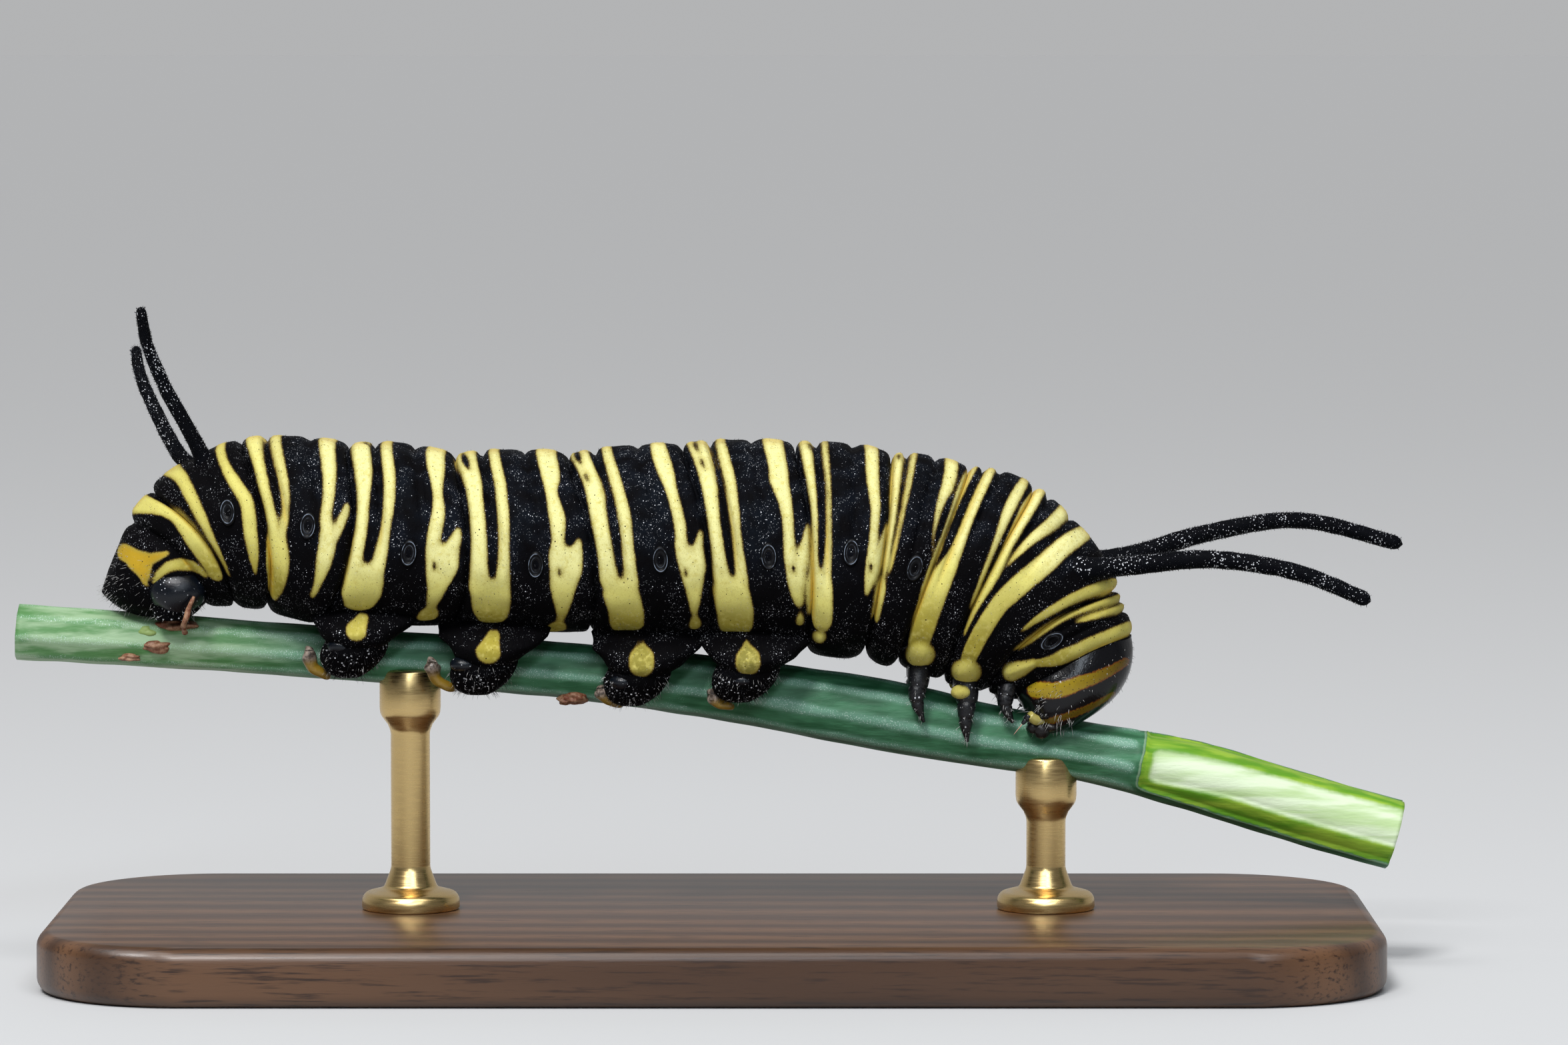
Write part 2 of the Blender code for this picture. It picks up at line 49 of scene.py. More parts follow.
# The folds between segments, rear to front: top (x, z), bottom (x, z), half width, and how far the sides
# bow ahead
FOLDS = np.array([
    (-23.75, 18.45, -20.70, 14.90, 2.50, 0.80),
    (-22.82, 19.51, -19.50, 14.95, 2.90, 0.80),
    (-19.26, 21.41, -18.20, 14.90, 3.50, 0.75),
    (-14.91, 21.25, -16.05, 14.42, 3.85, 0.95),
    (-10.53, 20.82, -10.61, 14.15, 3.90, 0.74),
    (-5.93, 20.87, -5.03, 13.88, 3.95, 0.64),
    (-1.28, 21.28, -0.22, 13.74, 3.95, 0.58),
    (3.32, 21.31, 3.73, 13.42, 3.90, 0.48),
    (7.26, 20.90, 6.17, 13.25, 3.80, 0.17),
    (10.39, 20.33, 7.48, 12.66, 3.60, -0.11),
    (13.00, 19.46, 9.38, 11.98, 3.30, -0.34),
    (16.32, 15.48, 11.15, 11.43, 2.75, -0.79),
    (17.05, 13.66, 12.65, 11.02, 2.05, -0.47),
])
BELLY_FULLNESS = 2.5

# Blunt ends: reach, lean towards the back, turn to the left, and fullness of back and belly
TAIL_END = (-2.90, 0.84, 0.0, 1.05, 2.4)
HEAD_END = (1.95, -0.80, -0.70, 2.7, 2.6)

# The stem's middle line as (x, z), and its radius
STEM = np.array([
    (-28.4, 13.78, 1.14), (-22.0, 13.38, 1.09), (-14.0, 12.80, 1.07), (-6.3, 12.22, 1.14),
    (0.0, 11.50, 1.28), (5.0, 10.70, 1.42), (8.0, 10.17, 1.44), (11.0, 9.55, 1.30),
    (15.0, 8.90, 1.21), (19.5, 7.93, 1.44), (24.0, 6.60, 1.50), (27.9, 5.50, 1.50),
])


# The segments' own folds and stripes

# Each segment has its rings of mesh, its swell on back and belly, its lesser grooves as (share along it,
# depth, width, angle down the side where it fades), and its stripes. A stripe is a band that runs down from
# the back, as (angle from the top, share along the segment, half width as a share).
SEGMENTS = [
    dict(rings=16, swell=(0.16, 0.12), grooves=[],
         stripes=[[(0, .45, .34), (18, .50, .34), (50, .79, .22), (63, .84, .20), (88, .72, .29),
                   (117, .68, .22)]]),
    dict(rings=34, swell=(0.52, 0.18), grooves=[(0.52, 0.16, 0.16, 68)],
         stripes=[
             [(0, .26, .10), (30, .31, .07), (52, .26, .07), (71, .19, .07), (94, .11, .05),
              (119, .06, .02)],
             [(0, .82, .05), (35, .77, .05), (56, .79, .08), (70, .83, .09), (91, .74, .11), (103, .69, .09),
              (115, .65, .03)]]),
    dict(rings=38, swell=(0.47, 0.32), grooves=[(0.245, 0.30, 0.13, 92), (0.64, 0.20, 0.16, 80)],
         stripes=[
             [(0, .15, .09), (38, .12, .06), (61, .09, .06), (77, .09, .06), (94, .10, .08)],
             [(0, .34, .05), (54, .31, .05), (77, .26, .04), (94, .17, .05)],
             [(98, .11, .15), (110, .08, .17), (130, .06, .12), (141, .05, .06)],
             [(0, .81, .08), (40, .79, .07), (61, .75, .06), (76, .70, .06), (86, .73, .09), (99, .71, .10),
              (116, .67, .05), (126, .64, .04)],
             [(66, .94, .03), (76, .88, .05), (87, .80, .06)]]),
    dict(rings=38, swell=(0.44, 0.12), grooves=[(0.24, 0.34, 0.13, 98), (0.62, 0.22, 0.16, 85)],
         stripes=[
             [(0, .12, .09), (37, .12, .085), (62, .09, .055), (83, .07, .055), (98, .06, .06),
              (108, .08, .08)],
             [(0, .36, .05), (41, .35, .055), (62, .32, .05), (82, .28, .045), (98, .26, .06),
              (108, .24, .07)],
             [(110, .17, .16), (121, .18, .16), (129, .20, .12)],
             [(0, .83, .09), (31, .80, .085), (54, .77, .045), (68, .755, .06), (81, .71, .06),
              (92, .69, .05)],
             [(78, .92, .03), (86, .88, .06), (95, .83, .08)],
             [(98, .79, .14), (112, .77, .08), (124, .76, .05), (133, .76, .03)],
             [(137, .76, .07), (144, .76, .08)]],
         holes=[[(0, .15, .010), (6, .165, .02), (10, .18, .008)]]),
    dict(rings=38, swell=(0.42, 0.12), grooves=[(0.235, 0.36, 0.13, 100), (0.615, 0.24, 0.16, 88)],
         stripes=[
             [(0, .09, .10), (19, .10, .09), (45, .11, .075), (57, .10, .065), (80, .09, .065),
              (98, .09, .07), (112, .11, .09)],
             [(0, .35, .045), (45, .34, .05), (69, .31, .05), (90, .29, .045), (112, .28, .06)],
             [(117, .20, .15), (126, .21, .145), (137, .23, .125), (142, .24, .10)],
             [(0, .82, .09), (36, .80, .085), (54, .76, .05), (69, .76, .07), (84, .735, .05),
              (93, .70, .06)],
             [(84, .91, .02), (92, .86, .06), (98, .82, .08)],
             [(98, .78, .13), (110, .75, .10), (124, .75, .06), (134, .75, .035), (143, .745, .025)],
             [(148, .74, .06), (160, .74, .075)]],
         holes=[[(2, .07, .010), (14, .08, .026), (24, .09, .028), (33, .105, .008)]]),
    dict(rings=38, swell=(0.36, 0.12), grooves=[(0.235, 0.36, 0.13, 104), (0.61, 0.22, 0.16, 88)],
         stripes=[
             [(0, .11, .085), (14, .11, .08), (46, .14, .08), (69, .11, .075), (90, .11, .07),
              (106, .12, .08)],
             [(0, .35, .04), (46, .34, .05), (70, .33, .055), (90, .31, .05), (107, .31, .06)],
             [(116, .22, .16), (129, .26, .15), (145, .28, .14), (150, .28, .12)],
             [(0, .80, .06), (36, .79, .075), (57, .79, .05), (78, .79, .05), (92, .76, .05)],
             [(81, .96, .02), (91, .91, .045), (98, .88, .08)],
             [(98, .84, .115), (110, .84, .075), (122, .84, .045), (130, .84, .022)],
             [(134, .85, .03), (142, .86, .05), (148, .86, .045)]],
         holes=[[(0, .085, .016), (12, .085, .028), (22, .09, .022), (28, .095, .006)],
                [(35, .105, .006), (40, .105, .020), (45, .11, .006)]]),
    dict(rings=38, swell=(0.36, 0.12), grooves=[(0.25, 0.36, 0.13, 104), (0.62, 0.20, 0.16, 88)],
         stripes=[
             [(0, .14, .10), (18, .15, .09), (48, .14, .075), (72, .10, .06), (92, .09, .065),
              (105, .10, .09)],
             [(0, .35, .04), (44, .34, .05), (66, .31, .05), (86, .29, .045), (105, .30, .06)],
             [(115, .19, .19), (126, .22, .19), (142, .24, .17), (147, .24, .15)],
             [(0, .81, .09), (38, .80, .085), (50, .78, .085), (65, .80, .06), (81, .79, .05),
              (92, .78, .06)],
             [(75, .985, .02), (86, .94, .045), (93, .89, .07)],
             [(99, .83, .10), (109, .84, .07), (117, .86, .045)],
             [(126, .88, .03), (134, .89, .045)]],
         holes=[[(0, .125, .014), (14, .125, .022), (24, .13, .010)],
                [(30, .135, .006), (35, .135, .020), (41, .135, .006)]]),
    dict(rings=34, swell=(0.42, 0.56), grooves=[(0.21, 0.36, 0.12, 104), (0.60, 0.24, 0.15, 88)],
         stripes=[
             [(0, .12, .075), (50, .09, .05), (70, .075, .04), (87, .04, .045), (97, .02, .06)],
             [(0, .31, .035), (48, .285, .033), (69, .255, .035), (90, .225, .05), (98, .20, .07)],
             [(105, .11, .19), (124, .14, .185), (129, .14, .14)],
             [(0, .78, .07), (44, .79, .07), (60, .83, .06), (76, .83, .055), (87, .84, .07)],
             [(70, 1.0, .03), (80, .96, .04), (88, .93, .07)],
             [(92, .88, .13), (99, .84, .07), (105, .82, .03)]],
         holes=[[(4, .15, .014), (12, .15, .02), (20, .14, .01)]]),
    dict(rings=30, swell=(0.40, 0.42), grooves=[(0.18, 0.34, 0.12, 100), (0.55, 0.26, 0.15, 92)],
         stripes=[
             [(0, .09, .075), (42, .06, .07), (62, .07, .055), (82, .06, .055), (92, .05, .07)],
             [(0, .275, .04), (40, .245, .04), (61, .22, .035), (81, .185, .04), (92, .15, .055)],
             [(101, .05, .11), (122, .05, .09)],
             [(0, .74, .08), (13, .75, .085), (37, .78, .085), (53, .75, .055), (69, .79, .025),
              (80, .88, .01)]],
         holes=[[(6, .085, .014), (14, .08, .018), (20, .08, .008)]]),
    dict(rings=30, swell=(0.50, 0.20), grooves=[(0.20, 0.32, 0.12, 96), (0.43, 0.28, 0.13, 80)],
         stripes=[
             [(0, .05, .065), (34, -.02, .06), (51, -.03, .045), (68, -.03, .04), (79, -.03, .055),
              (88, -.05, .04), (99, -.05, .04)],
             [(0, .30, .07), (38, .255, .08), (57, .255, .085), (74, .27, .11), (85, .24, .17),
              (94, .20, .23), (104, .20, .25), (121, .24, .24), (138, .30, .20)],
             [(0, .82, .06), (34, .78, .09), (50, .80, .08), (63, .84, .055), (75, .88, .045),
              (88, .92, .04), (98, .96, .03)]]),
    dict(rings=46, swell=(0.66, 0.22), grooves=[(0.14, 0.26, 0.13, 80), (0.37, 0.22, 0.14, 70)],
         stripes=[
             [(0, .04, .07), (11, .03, .06), (34, .01, .08), (50, .02, .07), (64, .04, .055),
              (76, .065, .06), (87, .065, .06), (97, .04, .045), (112, .06, .025)],
             [(0, .31, .06), (33, .27, .055), (50, .21, .05), (62, .17, .035), (71, .145, .015)],
             [(0, .53, .055), (12, .52, .06), (39, .47, .085), (60, .445, .105), (81, .368, .13),
              (92, .318, .128), (106, .32, .155), (122, .345, .165), (134, .40, .155)],
             [(8, .99, .05), (16, .97, .05), (56, .905, .055), (80, .86, .052), (92, .82, .03)]]),
    dict(rings=26, swell=(0.20, 0.12), grooves=[(0.27, 0.18, 0.10, 100), (0.50, 0.22, 0.10, 90)],
         stripes=[
             [(0, .20, .07), (38, .15, .08), (68, .07, .06), (89, .04, .07), (106, .0, .05)],
             [(0, .40, .06), (26, .39, .08), (50, .33, .08), (64, .27, .05)],
             [(0, .87, .13), (15, .86, .15), (50, .86, .15), (64, .85, .16), (78, .84, .16), (88, .80, .18),
              (98, .73, .16), (105, .58, .14), (111, .42, .13)]]),
]

# Yellow marks seen from the side, as strokes of (x, z, radius): lobes above the thorax legs
LOBES = [
    [(8.39, 13.07, .58)], [(8.39, 12.38, .20)], [(10.24, 12.34, .60)], [(10.12, 11.66, .26)],
    [(12.10, 12.32, .40), (12.40, 12.44, .36), (12.95, 12.68, .20)], [(4.31, 13.79, .27)],
]
# Dark points in the forks of the front stripes
FORK_DOTS = [[(x, z + 0.09, 0.05), (x, z - 0.09, 0.08)] for x, z in
             ((-11.17, 16.81), (-6.13, 16.55), (-1.09, 16.55), (3.26, 16.71), (6.37, 16.76))]
# Amber marks of the tail, and the pale fold below them
AMBER = [
    [(-23.92, 17.14, .34), (-23.30, 16.90, .36), (-22.80, 16.94, .24), (-22.10, 17.17, .09)],
    [(-23.42, 16.84, .38), (-23.10, 16.38, .24), (-22.98, 15.88, .08)],
    [(-22.90, 16.80, .22), (-22.92, 16.20, .12)],
]
CRESCENT = [(-22.62, 15.98, .07), (-22.40, 16.36, .15), (-22.02, 16.64, .21), (-21.60, 16.74, .23),
            (-21.12, 16.68, .22), (-20.76, 16.52, .16), (-20.52, 16.30, .09)]

# Points round the trunk, the head, the stem and the feet, and rings along some of them
SKIN_SIDES, HEAD_SIDES, STEM_SIDES, FOOT_SIDES = 168, 132, 112, 44
TAIL_ROWS, HEAD_ROWS, STEM_ROWS, FOOT_ROWS, FILAMENT_ROWS = 30, 66, 330, 24, 150
FOLD_DEPTH, FOLD_WIDTH = 0.24, 0.11     # of the folds between segments
TAIL, NECK = -1, len(SEGMENTS)          # numbers of the tail and the neck, beside those of the segments
FAR = 9.0                               # a distance that is outside every mark


# Curves, sections and distances

def unit(ways):
    """Directions made of length 1."""
    return ways / np.linalg.norm(ways, axis=-1, keepdims=True)


def full_turn(sides):
    """Angles evenly spread round a ring."""
    return np.arange(sides) / sides * 2 * math.pi


def from_top(angle):
    """The angle from a ring's top, down whichever side it is on."""
    return np.minimum(angle, 2 * math.pi - angle)


def curve(points, steps):
    """Rows of values evenly spread along a smooth line through given rows."""
    points = np.asarray(points, float)
    padded = np.vstack([2 * points[0] - points[1], points, 2 * points[-1] - points[-2]])
    place = np.linspace(0, len(points) - 1, steps)
    i = np.minimum(place.astype(int), len(points) - 2)
    t = (place - i)[:, None]
    a, b, c, d = (padded[i + k] for k in range(4))
    cubic = (3 * b - a - 3 * c + d) * t ** 3
    return 0.5 * (2 * b + (c - a) * t + (2 * a - 5 * b + 4 * c - d) * t ** 2 + cubic)


def section_parts(sections):
    """The middles, up and ahead directions in (x, z), and half heights of sections."""
    top, bottom = sections[:, 0:2], sections[:, 2:4]
    line = top - bottom
    length = np.linalg.norm(line, axis=1)
    up = line / length[:, None]
    return (top + bottom) / 2, up, np.stack([up[:, 1], -up[:, 0]], 1), length / 2


def rim(sections, angles, height):
    """Points round each section at the angles from its top, down its right side, raised by a height."""
    middle, up, ahead, half = section_parts(sections)
    rise, side = np.cos(angles), np.sin(angles)
    power = np.where(rise < 0, 2 / BELLY_FULLNESS, 1.0)
    rise = np.sign(rise) * np.abs(rise) ** power
    side = np.sign(side) * np.abs(side) ** power
    risen = ((half[:, None] + height) * rise)[..., None] * up[:, None]
    bow = (sections[:, 5, None] * side ** 2)[..., None] * ahead[:, None]
    flat = middle[:, None] + risen + bow
    return np.stack([flat[..., 0], -(sections[:, 4, None] + height) * side, flat[..., 1]], -1)


def shifted(section, distance):
    """A section moved ahead by a distance."""
    ahead = section_parts(section[None])[2][0]
    return section + np.concatenate([ahead, ahead, [0, 0]]) * distance


def dome(base, end, shares):
    """Sections of a blunt end at shares of its reach, and how far each is turned to the left."""
    reach, lean, turn, back_fullness, belly_fullness = end
    middle, up, ahead, half = (value[0] for value in section_parts(base[None]))
    shares = np.asarray(shares)
    centre = middle + np.outer(shares, ahead * reach + up * lean)
    back = (1 - shares ** back_fullness) ** (1 / back_fullness)
    belly = (1 - shares ** belly_fullness) ** (1 / belly_fullness)
    top = centre + np.outer(half * back, up)
    bottom = centre - np.outer(half * belly, up)
    return np.column_stack([top, bottom, base[4] * belly, base[5] * belly ** 2]), shares * turn


def smooth(low, high, value):
    """0 up to low, 1 from high on, and a soft change between them."""
    t = np.clip((value - low) / (high - low), 0, 1)
    return t * t * (3 - 2 * t)


def band_distance(share, angle, length, arc, knots):
    """Distance outside a stripe, below 0 inside it."""
    angles, middles, halves = curve(knots, 8 * len(knots)).T
    angles = np.maximum.accumulate(angles)
    inside = np.clip(angle, angles[0], angles[-1])
    along = (share - np.interp(inside, angles, middles)) * length
    across = (angle - inside) * arc
    return np.hypot(along, across) - np.interp(inside, angles, halves) * length


def stroke_distance(points, stroke):
    """Distance of points outside a stroke of (x, z, radius) seen from the side, below 0 inside it."""
    x, z = points[..., 0], points[..., 2]
    if len(stroke) == 1:
        (a, b, radius), = stroke
        return np.hypot(x - a, z - b) - radius
    best = np.full(x.shape, FAR)
    for (ax, az, ar), (bx, bz, br) in zip(stroke, stroke[1:]):
        dx, dz = bx - ax, bz - az
        t = np.clip(((x - ax) * dx + (z - az) * dz) / (dx * dx + dz * dz), 0, 1)
        best = np.minimum(best, np.hypot(x - ax - t * dx, z - az - t * dz) - (ar + (br - ar) * t))
    return best


def merge(a, b, soft=0.06):
    """The nearer of two distances, rounded where they meet."""
    h = np.clip(0.5 + 0.5 * (b - a) / soft, 0, 1)
    return b + (a - b) * h - soft * h * (1 - h)


def ripple(points, seed):
    """Smooth unevenness from -1 to 1 at points in millimetres."""
    rng = np.random.default_rng(seed)
    total = np.zeros(points.shape[:-1])
    for _ in range(10):
        way = rng.normal(size=3)
        way *= rng.uniform(0.8, 2.2) / np.linalg.norm(way)
        total += np.sin(points @ way * 2 + rng.uniform(0, 2 * math.pi))
    return total / 4.5


# Surfaces and pieces

def closed_rows(rows, start=None, end=None):
    """Vertices and faces of a closed surface through rows of rings. Fans to two points end it, or to the
    middles of the first and the last ring."""
    start = rows[0].mean(0) if start is None else start
    end = rows[-1].mean(0) if end is None else end
    count, sides = rows.shape[:2]
    verts = np.vstack([rows.reshape(-1, 3), [start, end]])
    index = np.arange(count * sides).reshape(count, sides)
    following = np.roll(index, -1, axis=1)
    faces = np.stack([index[:-1], following[:-1], following[1:], index[1:]], -1).reshape(-1, 4).tolist()
    first, last = len(verts) - 2, len(verts) - 1
    faces += [(b, a, first) for a, b in zip(index[0].tolist(), following[0].tolist())]
    faces += [(a, b, last) for a, b in zip(index[-1].tolist(), following[-1].tolist())]
    return verts, faces


def signed_volume(verts, faces):
    """Above 0 where the faces of a closed surface point outwards."""
    corners = np.array([(face[0], face[k], face[k + 1]) for face in faces for k in range(1, len(face) - 1)])
    a, b, c = (verts[corners[:, k]] for k in range(3))
    return np.einsum("ij,ij->i", a, np.cross(b, c)).sum()


def make_mesh(name, verts, faces, values):
    """A smooth mesh of points in millimetres that keeps a value at each point under each name."""
    mesh = bpy.data.meshes.new(name)
    mesh.from_pydata(verts * MM, [], faces)
    for value, numbers in values.items():
        attribute = mesh.attributes.new(value, "FLOAT", "POINT")
        attribute.data.foreach_set("value", numbers.astype(np.float32))
    mesh.shade_smooth()
    mesh.update()
    return mesh


class Surface:
    """Closed surfaces in millimetres that become one mesh, with values kept at their points."""

    def __init__(self):
        self.verts, self.faces, self.values, self.count = [], [], {}, 0

    def add(self, verts, faces, **values):
        if signed_volume(verts - verts.mean(0), faces) < 0:
            faces = [face[::-1] for face in faces]
        self.faces += [tuple(i + self.count for i in face) for face in faces]
        self.verts.append(verts)
        for name in set(self.values) | set(values):
            parts = self.values.setdefault(name, [np.zeros(self.count)] if self.count else [])
            parts.append(np.broadcast_to(values.get(name, 0.0), len(verts)).astype(float))
        self.count += len(verts)
        return self

    def add_rows(self, rows, start=None, end=None, **values):
        return self.add(*closed_rows(rows, start, end), **values)

    def mesh(self, name):
        values = {value: np.concatenate(parts) for value, parts in self.values.items()}
        return make_mesh(name, np.vstack(self.verts), self.faces, values)


def lump(centre, radii, sides, rows, roughness, seed):
    """An uneven ball as vertices and faces."""
    tilt, turn = np.linspace(0, math.pi, rows + 2)[1:-1, None], full_turn(sides)
    ball = np.stack([np.sin(tilt) * np.cos(turn), np.sin(tilt) * np.sin(turn), np.cos(tilt) + 0 * turn], -1)
    points = centre + ball * (1 + roughness * ripple(ball * 2 + centre, seed))[..., None] * radii
    pole = np.array([0, 0, radii[2]])
    return closed_rows(points, centre + pole, centre - pole)


def tube(line, radii, sides, rough=0.0, scale=3.0, seed=0):
    """Rings round a line of points, with an unevenness of the depth given."""
    ahead = unit(np.gradient(line, axis=0))
    side = unit(np.cross(ahead, (0.0, 0.25, 1.0)))
    turn = full_turn(sides)[None, :, None]
    around = side[:, None] * np.cos(turn) + np.cross(side, ahead)[:, None] * np.sin(turn)
    rows = line[:, None] + around * radii[:, None, None]
    return rows + around * (rough * ripple(rows * scale, seed))[..., None]


def settle(piece, nodes, material):
    """Gives a finished piece its material and the root to ride on, and hides the parts that it stands for."""
    piece.data.materials.clear()
    piece.data.materials.append(material)
    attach(piece, "root")
    if nodes:
        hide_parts(*nodes)


def place_piece(name, mesh, nodes, material):
    """Makes a piece of a finished mesh."""
    piece = bpy.data.objects.new(name, mesh)
    bpy.context.scene.collection.objects.link(piece)
    settle(piece, nodes, material)


# Finishes

class Value:
    """What a node gives. Sums, products and comparisons with it make new nodes."""

    def __init__(self, nodes, socket):
        self.nodes, self.socket = nodes, socket

    def maths(self, operation, a, b=0.0):
        return self.nodes.node("ShaderNodeMath", {0: a, 1: b}, operation=operation)

    def __add__(self, other):
        return self.maths("ADD", self, other)

    def __sub__(self, other):
        return self.maths("SUBTRACT", self, other)

    def __rsub__(self, other):
        return self.maths("SUBTRACT", other, self)

    def __mul__(self, other):
        return self.maths("MULTIPLY", self, other)

    def __lt__(self, other):
        return self.maths("LESS_THAN", self, other)

    def __abs__(self):
        return self.maths("ABSOLUTE", self)

    def at_least(self, other):
        return self.maths("MAXIMUM", self, other)

    def ramp(self, low, high, to_low=0.0, to_high=1.0):
        """A soft change from one value to another, where this one goes from low to high."""
        bounds = {"Value": self, "From Min": low, "From Max": high, "To Min": to_low, "To Max": to_high}
        return self.nodes.node("ShaderNodeMapRange", bounds, interpolation_type="SMOOTHSTEP")


class Nodes:
    """A tree of nodes, with a short word for each kind that the finishes use."""

    def __init__(self, tree):
        self.tree = tree
        self.points = {}

    def join(self, socket, value):
        if isinstance(value, Value):
            self.tree.links.new(value.socket, socket)
        elif isinstance(value, tuple) and socket.type == "RGBA":
            socket.default_value = (*value, 1)
        else:
            socket.default_value = value

    def node(self, kind, inputs=(), output=0, **settings):
        """The output of a new node, whose inputs are joined to values or set to numbers."""
        node = self.tree.nodes.new(kind)
        for name, value in settings.items():
            setattr(node, name, value)
        for name, value in dict(inputs).items():
            self.join(node.inputs[name], value)
        return Value(self, node.outputs[output])

    def point(self, stretch=(1, 1, 1)):
        """The point of the object in millimetres, stretched."""
        if stretch not in self.points:
            inputs = {"Vector": self.node("ShaderNodeTexCoord", output="Object"),
                      "Scale": tuple(s / MM for s in stretch)}
            self.points[stretch] = self.node("ShaderNodeMapping", inputs, vector_type="POINT")
        return self.points[stretch]

    def kept(self, name):
        """A value that the mesh keeps at its points."""
        return self.node("ShaderNodeAttribute", output="Fac", attribute_name=name)

    def noise(self, scale, detail=2.0, roughness=0.5, stretch=(1, 1, 1)):
        inputs = {"Vector": self.point(stretch), "Scale": scale, "Detail": detail, "Roughness": roughness}
        return self.node("ShaderNodeTexNoise", inputs, "Fac")

    def cells(self, scale):
        """Distance from the nearest of many scattered points."""
        return self.node("ShaderNodeTexVoronoi", {"Vector": self.point(), "Scale": scale}, "Distance")

    def flecks(self, scale, seldom, often, size):
        """Small points that lie thick in some places: 1 where one is."""
        return self.cells(scale) < self.noise(1.1, 4.0, 0.65).ramp(seldom, often, 0.0, size)

    def layers(self, colour, *coats):
        """A colour with other colours over it, each as strong as its factor."""
        for factor, coat in coats:
            colour = self.node("ShaderNodeMix", {0: factor, 6: colour, 7: coat}, 2, data_type="RGBA")
        return colour

    def bump(self, height, strength, distance, normal=None):
        inputs = {"Height": height, "Strength": strength, "Distance": distance * MM}
        if normal is not None:
            inputs["Normal"] = normal
        return self.node("ShaderNodeBump", inputs)


class Look(Nodes):
    """A material made of nodes."""

    def __init__(self, name):
        self.material = bpy.data.materials.new(name)
        self.material.use_nodes = True
        super().__init__(self.material.node_tree)

    def finish(self, colour, roughness, shine=0.5, normal=None, metal=0.0):
        inputs = {"Base Color": colour, "Roughness": roughness, "Specular IOR Level": shine,
                  "Metallic": metal}
        if normal is not None:
            inputs["Normal"] = normal
        for name, value in inputs.items():
            self.join(self.tree.nodes["Principled BSDF"].inputs[name], value)
        return self.material


# The bluish black is a painted sheen
BLACK, PAINTED_SHEEN_BLUE = (0.0020, 0.0018, 0.0022), (0.0046, 0.0062, 0.0096)
# Yellows from pale to olive: partly the skin's own deeper yellow low down, partly painted shade down the
# sides
PALE_YELLOW, MID_YELLOW = (0.72, 0.69, 0.31), (0.62, 0.57, 0.165)
DEEP_YELLOW, OLIVE = (0.33, 0.275, 0.040), (0.13, 0.125, 0.04)
WARM_YELLOW, SHADED_YELLOW = (0.56, 0.49, 0.14), (0.30, 0.24, 0.045)
# The darker orange of the folds is painted shade in the creases
CREASE_SHADE_ORANGE, CROWN_BROWN, RIM_BROWN = (0.66, 0.42, 0.035), (0.50, 0.33, 0.07), (0.075, 0.045, 0.010)
GRAIN_BROWN, STIPPLE_BROWN, DOT_BROWN = (0.42, 0.34, 0.05), (0.26, 0.21, 0.04), (0.03, 0.02, 0.008)
TAIL_AMBER, FLECK = (0.41, 0.26, 0.020), (0.62, 0.63, 0.66)


def skin_look():
    """Black velvety skin with pale yellow stripes, amber marks, white flecks and tiny dark dots, with painted
    shade and sheen.
    """
    look = Look("larval skin")
    low, gloss, grain = look.kept("low"), look.kept("gloss"), look.noise(20.0)
    edge = look.kept("stripe") + ((grain - 0.5) * 0.10 + (look.noise(2.6, 3.0) - 0.5) * 0.06)
    # The yellow darkens down the sides with the kept value low, partly as its own colour and partly as
    # painted shade
    yellow = look.layers(
        PALE_YELLOW, (low.ramp(0.0, 0.5), MID_YELLOW), (low.ramp(0.5, 1.0), DEEP_YELLOW),
        # Painted shade in the creases: the yellow turns a darker orange where the skin folds in
        (low.ramp(1.0, 2.0), OLIVE), (look.kept("crease").ramp(0.05, 0.85) * 0.8, CREASE_SHADE_ORANGE),
        # Brown along the top of the back is painted: it stands for the darker rim, tinted by light through
        # the skin, at the outline
        (look.noise(5.0, 3.0).ramp(0.45, 0.85), WARM_YELLOW), (look.kept("crown") * 0.6, CROWN_BROWN),
        (grain * 0.16, GRAIN_BROWN), ((look.cells(14.0) < 0.24) * 0.30, STIPPLE_BROWN),
        (look.kept("amber").ramp(0.05, -0.06), TAIL_AMBER), (edge.ramp(-0.20, 0.0, 0.0, 0.62), SHADED_YELLOW))
    dots = look.cells(4.8) < look.noise(2.6).ramp(0.36, 0.70, 0.06, 0.15)
    white = look.flecks(3.0, 0.22, 0.72, 0.095).at_least(look.flecks(6.2, 0.26, 0.74, 0.18))
    white = white.at_least(look.flecks(12.0, 0.36, 0.62, 0.25) * 0.22)
    white = white.at_least(look.flecks(5.6, 0.10, 0.55, 0.22) * look.kept("foot"))
    white = white * (edge.ramp(-0.02, 0.07, 0.30, 1.0) * (1.0 - gloss))
    # The bluish black towards the top of the back is a painted sheen
    colour = look.layers(
        BLACK, (look.noise(1.1, 3.0).ramp(0.3, 0.75) * low.ramp(0.0, 0.3, 1.0, 0.1), PAINTED_SHEEN_BLUE),
        (edge.ramp(0.06, 0.0), RIM_BROWN), (edge.ramp(0.03, -0.055), yellow),
        (dots * edge.ramp(0.0, -0.06), DOT_BROWN),
        (white * look.noise(5.0).ramp(0.3, 0.65, 0.40, 1.0), FLECK))
    wrinkles = look.noise(3.2, 4.0, 0.6, (2.2, 1.0, 0.7))
    normal = look.bump(wrinkles, edge.ramp(0.04, -0.04, 0.42, 0.14), 0.13)
    normal = look.bump(look.noise(15.0, 3.0, 0.6), edge.ramp(0.04, -0.04, 0.40, 0.20), 0.05, normal)
    normal = look.bump(white, 0.5, 0.03, normal)
    return look.finish(colour, edge.ramp(0.04, -0.04, 0.62, 0.46) - gloss * 0.42, 0.022, normal)


